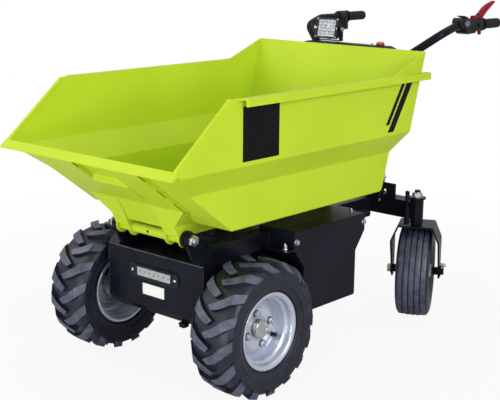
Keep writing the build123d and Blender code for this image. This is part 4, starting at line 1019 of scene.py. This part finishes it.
# %% [markdown]
# ## Console
# The operator stands behind the machine, so the console's sloped face carries the key
# switch, the battery gauge and the rocker switches, and a red mushroom button stops the
# machine. Every dial and plate is blank.

# %% Fit the console
panel = facing(0, 865, 922.5, (-1, 0, 0), (0, -30, 35))
ROCKER = [(-0.007, -0.010), (0.007, -0.010), (0.007, 0.010), (-0.007, 0.010)]
KEY_BARREL = [(-0.001, 0), (-0.001, 0.0125), (0.0030, 0.0118), (0.0040, 0.0100), (0.0040, 0.0060),
              (0.0020, 0.0055), (0.0020, 0)]
KEY_X = -66
housing, dark, bright = bmesh.new(), bmesh.new(), bmesh.new()
prism(housing, rounded(34, 15, 3), -0.001, 0.0030, panel)
prism(dark, rounded(27, 9, 1.5), 0.0028, 0.0034, panel)
for x in (60, 88):
    prism(housing, rounded(11, 14, 2, x), -0.001, 0.0022, panel)
    prism(dark, [(x * MM + across, along) for across, along in ROCKER], 0.0020, 0.0050, panel)
ring(bright, KEY_BARREL, 32, panel @ Matrix.Translation((KEY_X * MM, 0, 0)) @ STAND)
prism(bright, rounded(1.3, 9, 0.6, KEY_X), 0.0018, 0.0220, panel)
piece("console_bezels", housing, "chassis", "black_plastic", bevel=0.0008)
piece("console_switches", dark, "chassis", "vinyl", bevel=0.0006)
piece("key_switch", bright, "chassis", "zinc_bolt", bevel=0.0003)

button = aimed(at(125, 840, 940), (0, 0, 1)) @ STAND
mesh = bmesh.new()
ring(mesh, [(0.0, 0), (0.0, 0.0100), (0.0030, 0.0105), (0.0034, 0.0135), (0.0060, 0.0140), (0.0085, 0.0134),
            (0.0104, 0.0112), (0.0116, 0.0080), (0.0120, 0.0040), (0.0120, 0)], 40, button)
piece("emergency_stop_cap", mesh, "chassis", "stop_red", ("emergency_stop",))
mesh = bmesh.new()
ring(mesh, [(-SUNK, 0.0120), (-SUNK, 0.0160), (0.0016, 0.0155), (0.0024, 0.0145), (0.0024, 0.0120)], 40,
     button)
piece("emergency_stop_collar", mesh, "chassis", "black_plastic")
print("console dressed")

# %% [markdown]
# ## Casters and the crossbar
# The king pins are zinc plated, and so are the axle bolts. Dark spacers keep each wheel
# in the middle of its fork.

# %% Fit the caster hardware
# the king pin's nut stands on the crossbar at this height; outlines are in (x, radius)
KING_PIN_TOP = 0.434
PIN_TIP = [(0.0140, 0), (0.0140, 0.0103), (0.0160, 0.0103), (0.0168, 0.0092), (0.0168, 0)]
AXLE = [(0.0975, 0.0090), (0.0985, 0.0080), (0.0985, 0)]
WASHER = [(0.0840, 0.0090), (0.0840, 0.0190), (0.0846, 0.0198), (0.0868, 0.0198), (0.0872, 0.0190),
          (0.0872, 0.0091)]
SPACER = [(0.0561, 0.0091), (0.0561, 0.0130), (0.0570, 0.0140), (0.0770, 0.0140), (0.0780, 0.0130),
          (0.0780, 0.0091)]
for name, side in SIDES:
    top = caster_place(side) @ Matrix.Translation((0, 0, KING_PIN_TOP))
    mesh = bmesh.new()
    prism(mesh, polygon(6, 0.0178), 0.0, 0.0142, top)
    prism(mesh, polygon(28, 0.0190), -0.0008, 0.0016, top)
    ring(mesh, PIN_TIP, 24, top @ STAND)
    piece(f"king_pin_nut_{name}", mesh, f"caster_{name}", "zinc_bolt", bevel=0.0010)
    wheel = caster_wheel_place(side)
    across = wheel.to_3x3() @ Vector((side, 0, 0))
    axle, dark = bmesh.new(), bmesh.new()
    ring(axle, flipped(AXLE) + AXLE, 24, wheel, closed=False)
    prism(dark, polygon(6, 0.0128), WASHER[-1][0], 0.0970, aimed(wheel.translation, across))
    prism(axle, polygon(6, 0.0150), WASHER[-1][0], 0.0990, aimed(wheel.translation, -across))
    screw(axle, wheel @ Vector((side * WASHER[0][0], 0, 0.022)), across, 0.014, 0.016)
    for end in (1, -1):
        for outline in (WASHER, SPACER):
            ring(dark, [(end * x, r) for x, r in outline], 32, wheel)
    piece(f"caster_axle_bolt_{name}", axle, f"caster_{name}", "zinc_bolt", (f"caster_axle_{name}",),
          bevel=0.0006)
    piece(f"caster_spacers_{name}", dark, f"caster_{name}", "black_powder", (f"caster_axle_{name}",))

# two spring latches in front of the crossbar, with outlines in (x, radius)
LATCH_TIP = [(0, 0), (0, 0.0035), (0.002, 0.0045), (0.008, 0.0045), (0.009, 0.0030), (0.009, 0)]
LATCH_ROD = [(0.009, 0), (0.009, 0.0029), (0.046, 0.0029), (0.047, 0.0020), (0.047, 0)]
mesh, tips = bmesh.new(), bmesh.new()
for side in (1, -1):
    place = aimed(at(side * 141, 845.5, 404), (0, 0, 1)) @ STAND
    ring(tips, LATCH_TIP, 20, place)
    ring(mesh, LATCH_ROD, 20, place)
piece("latch_rods", mesh, "chassis", "black_steel")
piece("latch_tips", tips, "chassis", "zinc_bolt")

# a bracket under the axle box, and a shelf with a stud on each side of the chassis
mesh = bmesh.new()
prism(mesh, [(0.084, 0.1835), (0.088, 0.170), (0.107, 0.170), (0.111, 0.1835)], 0.0, 0.020,
      facing(0, -62, 0, (1, 0, 0), (0, 0, 1)))
for side in (1, -1):
    shelf = facing(side * 250, 170, 389, (side, 0, 0), (0, side, 0))
    prism(mesh, rounded(50, 22, 8), -0.002, 0.002, shelf)
piece("brackets", mesh, "chassis", "black_powder", bevel=0.0010)
mesh = bmesh.new()
for side in (1, -1):
    screw(mesh, at(side * 276, 172, 391), (0, 0, 1), 0.013, 0.012, 0.010)
piece("bracket_studs", mesh, "chassis", "zinc_bolt", bevel=0.0005)
print("casters and crossbar dressed")
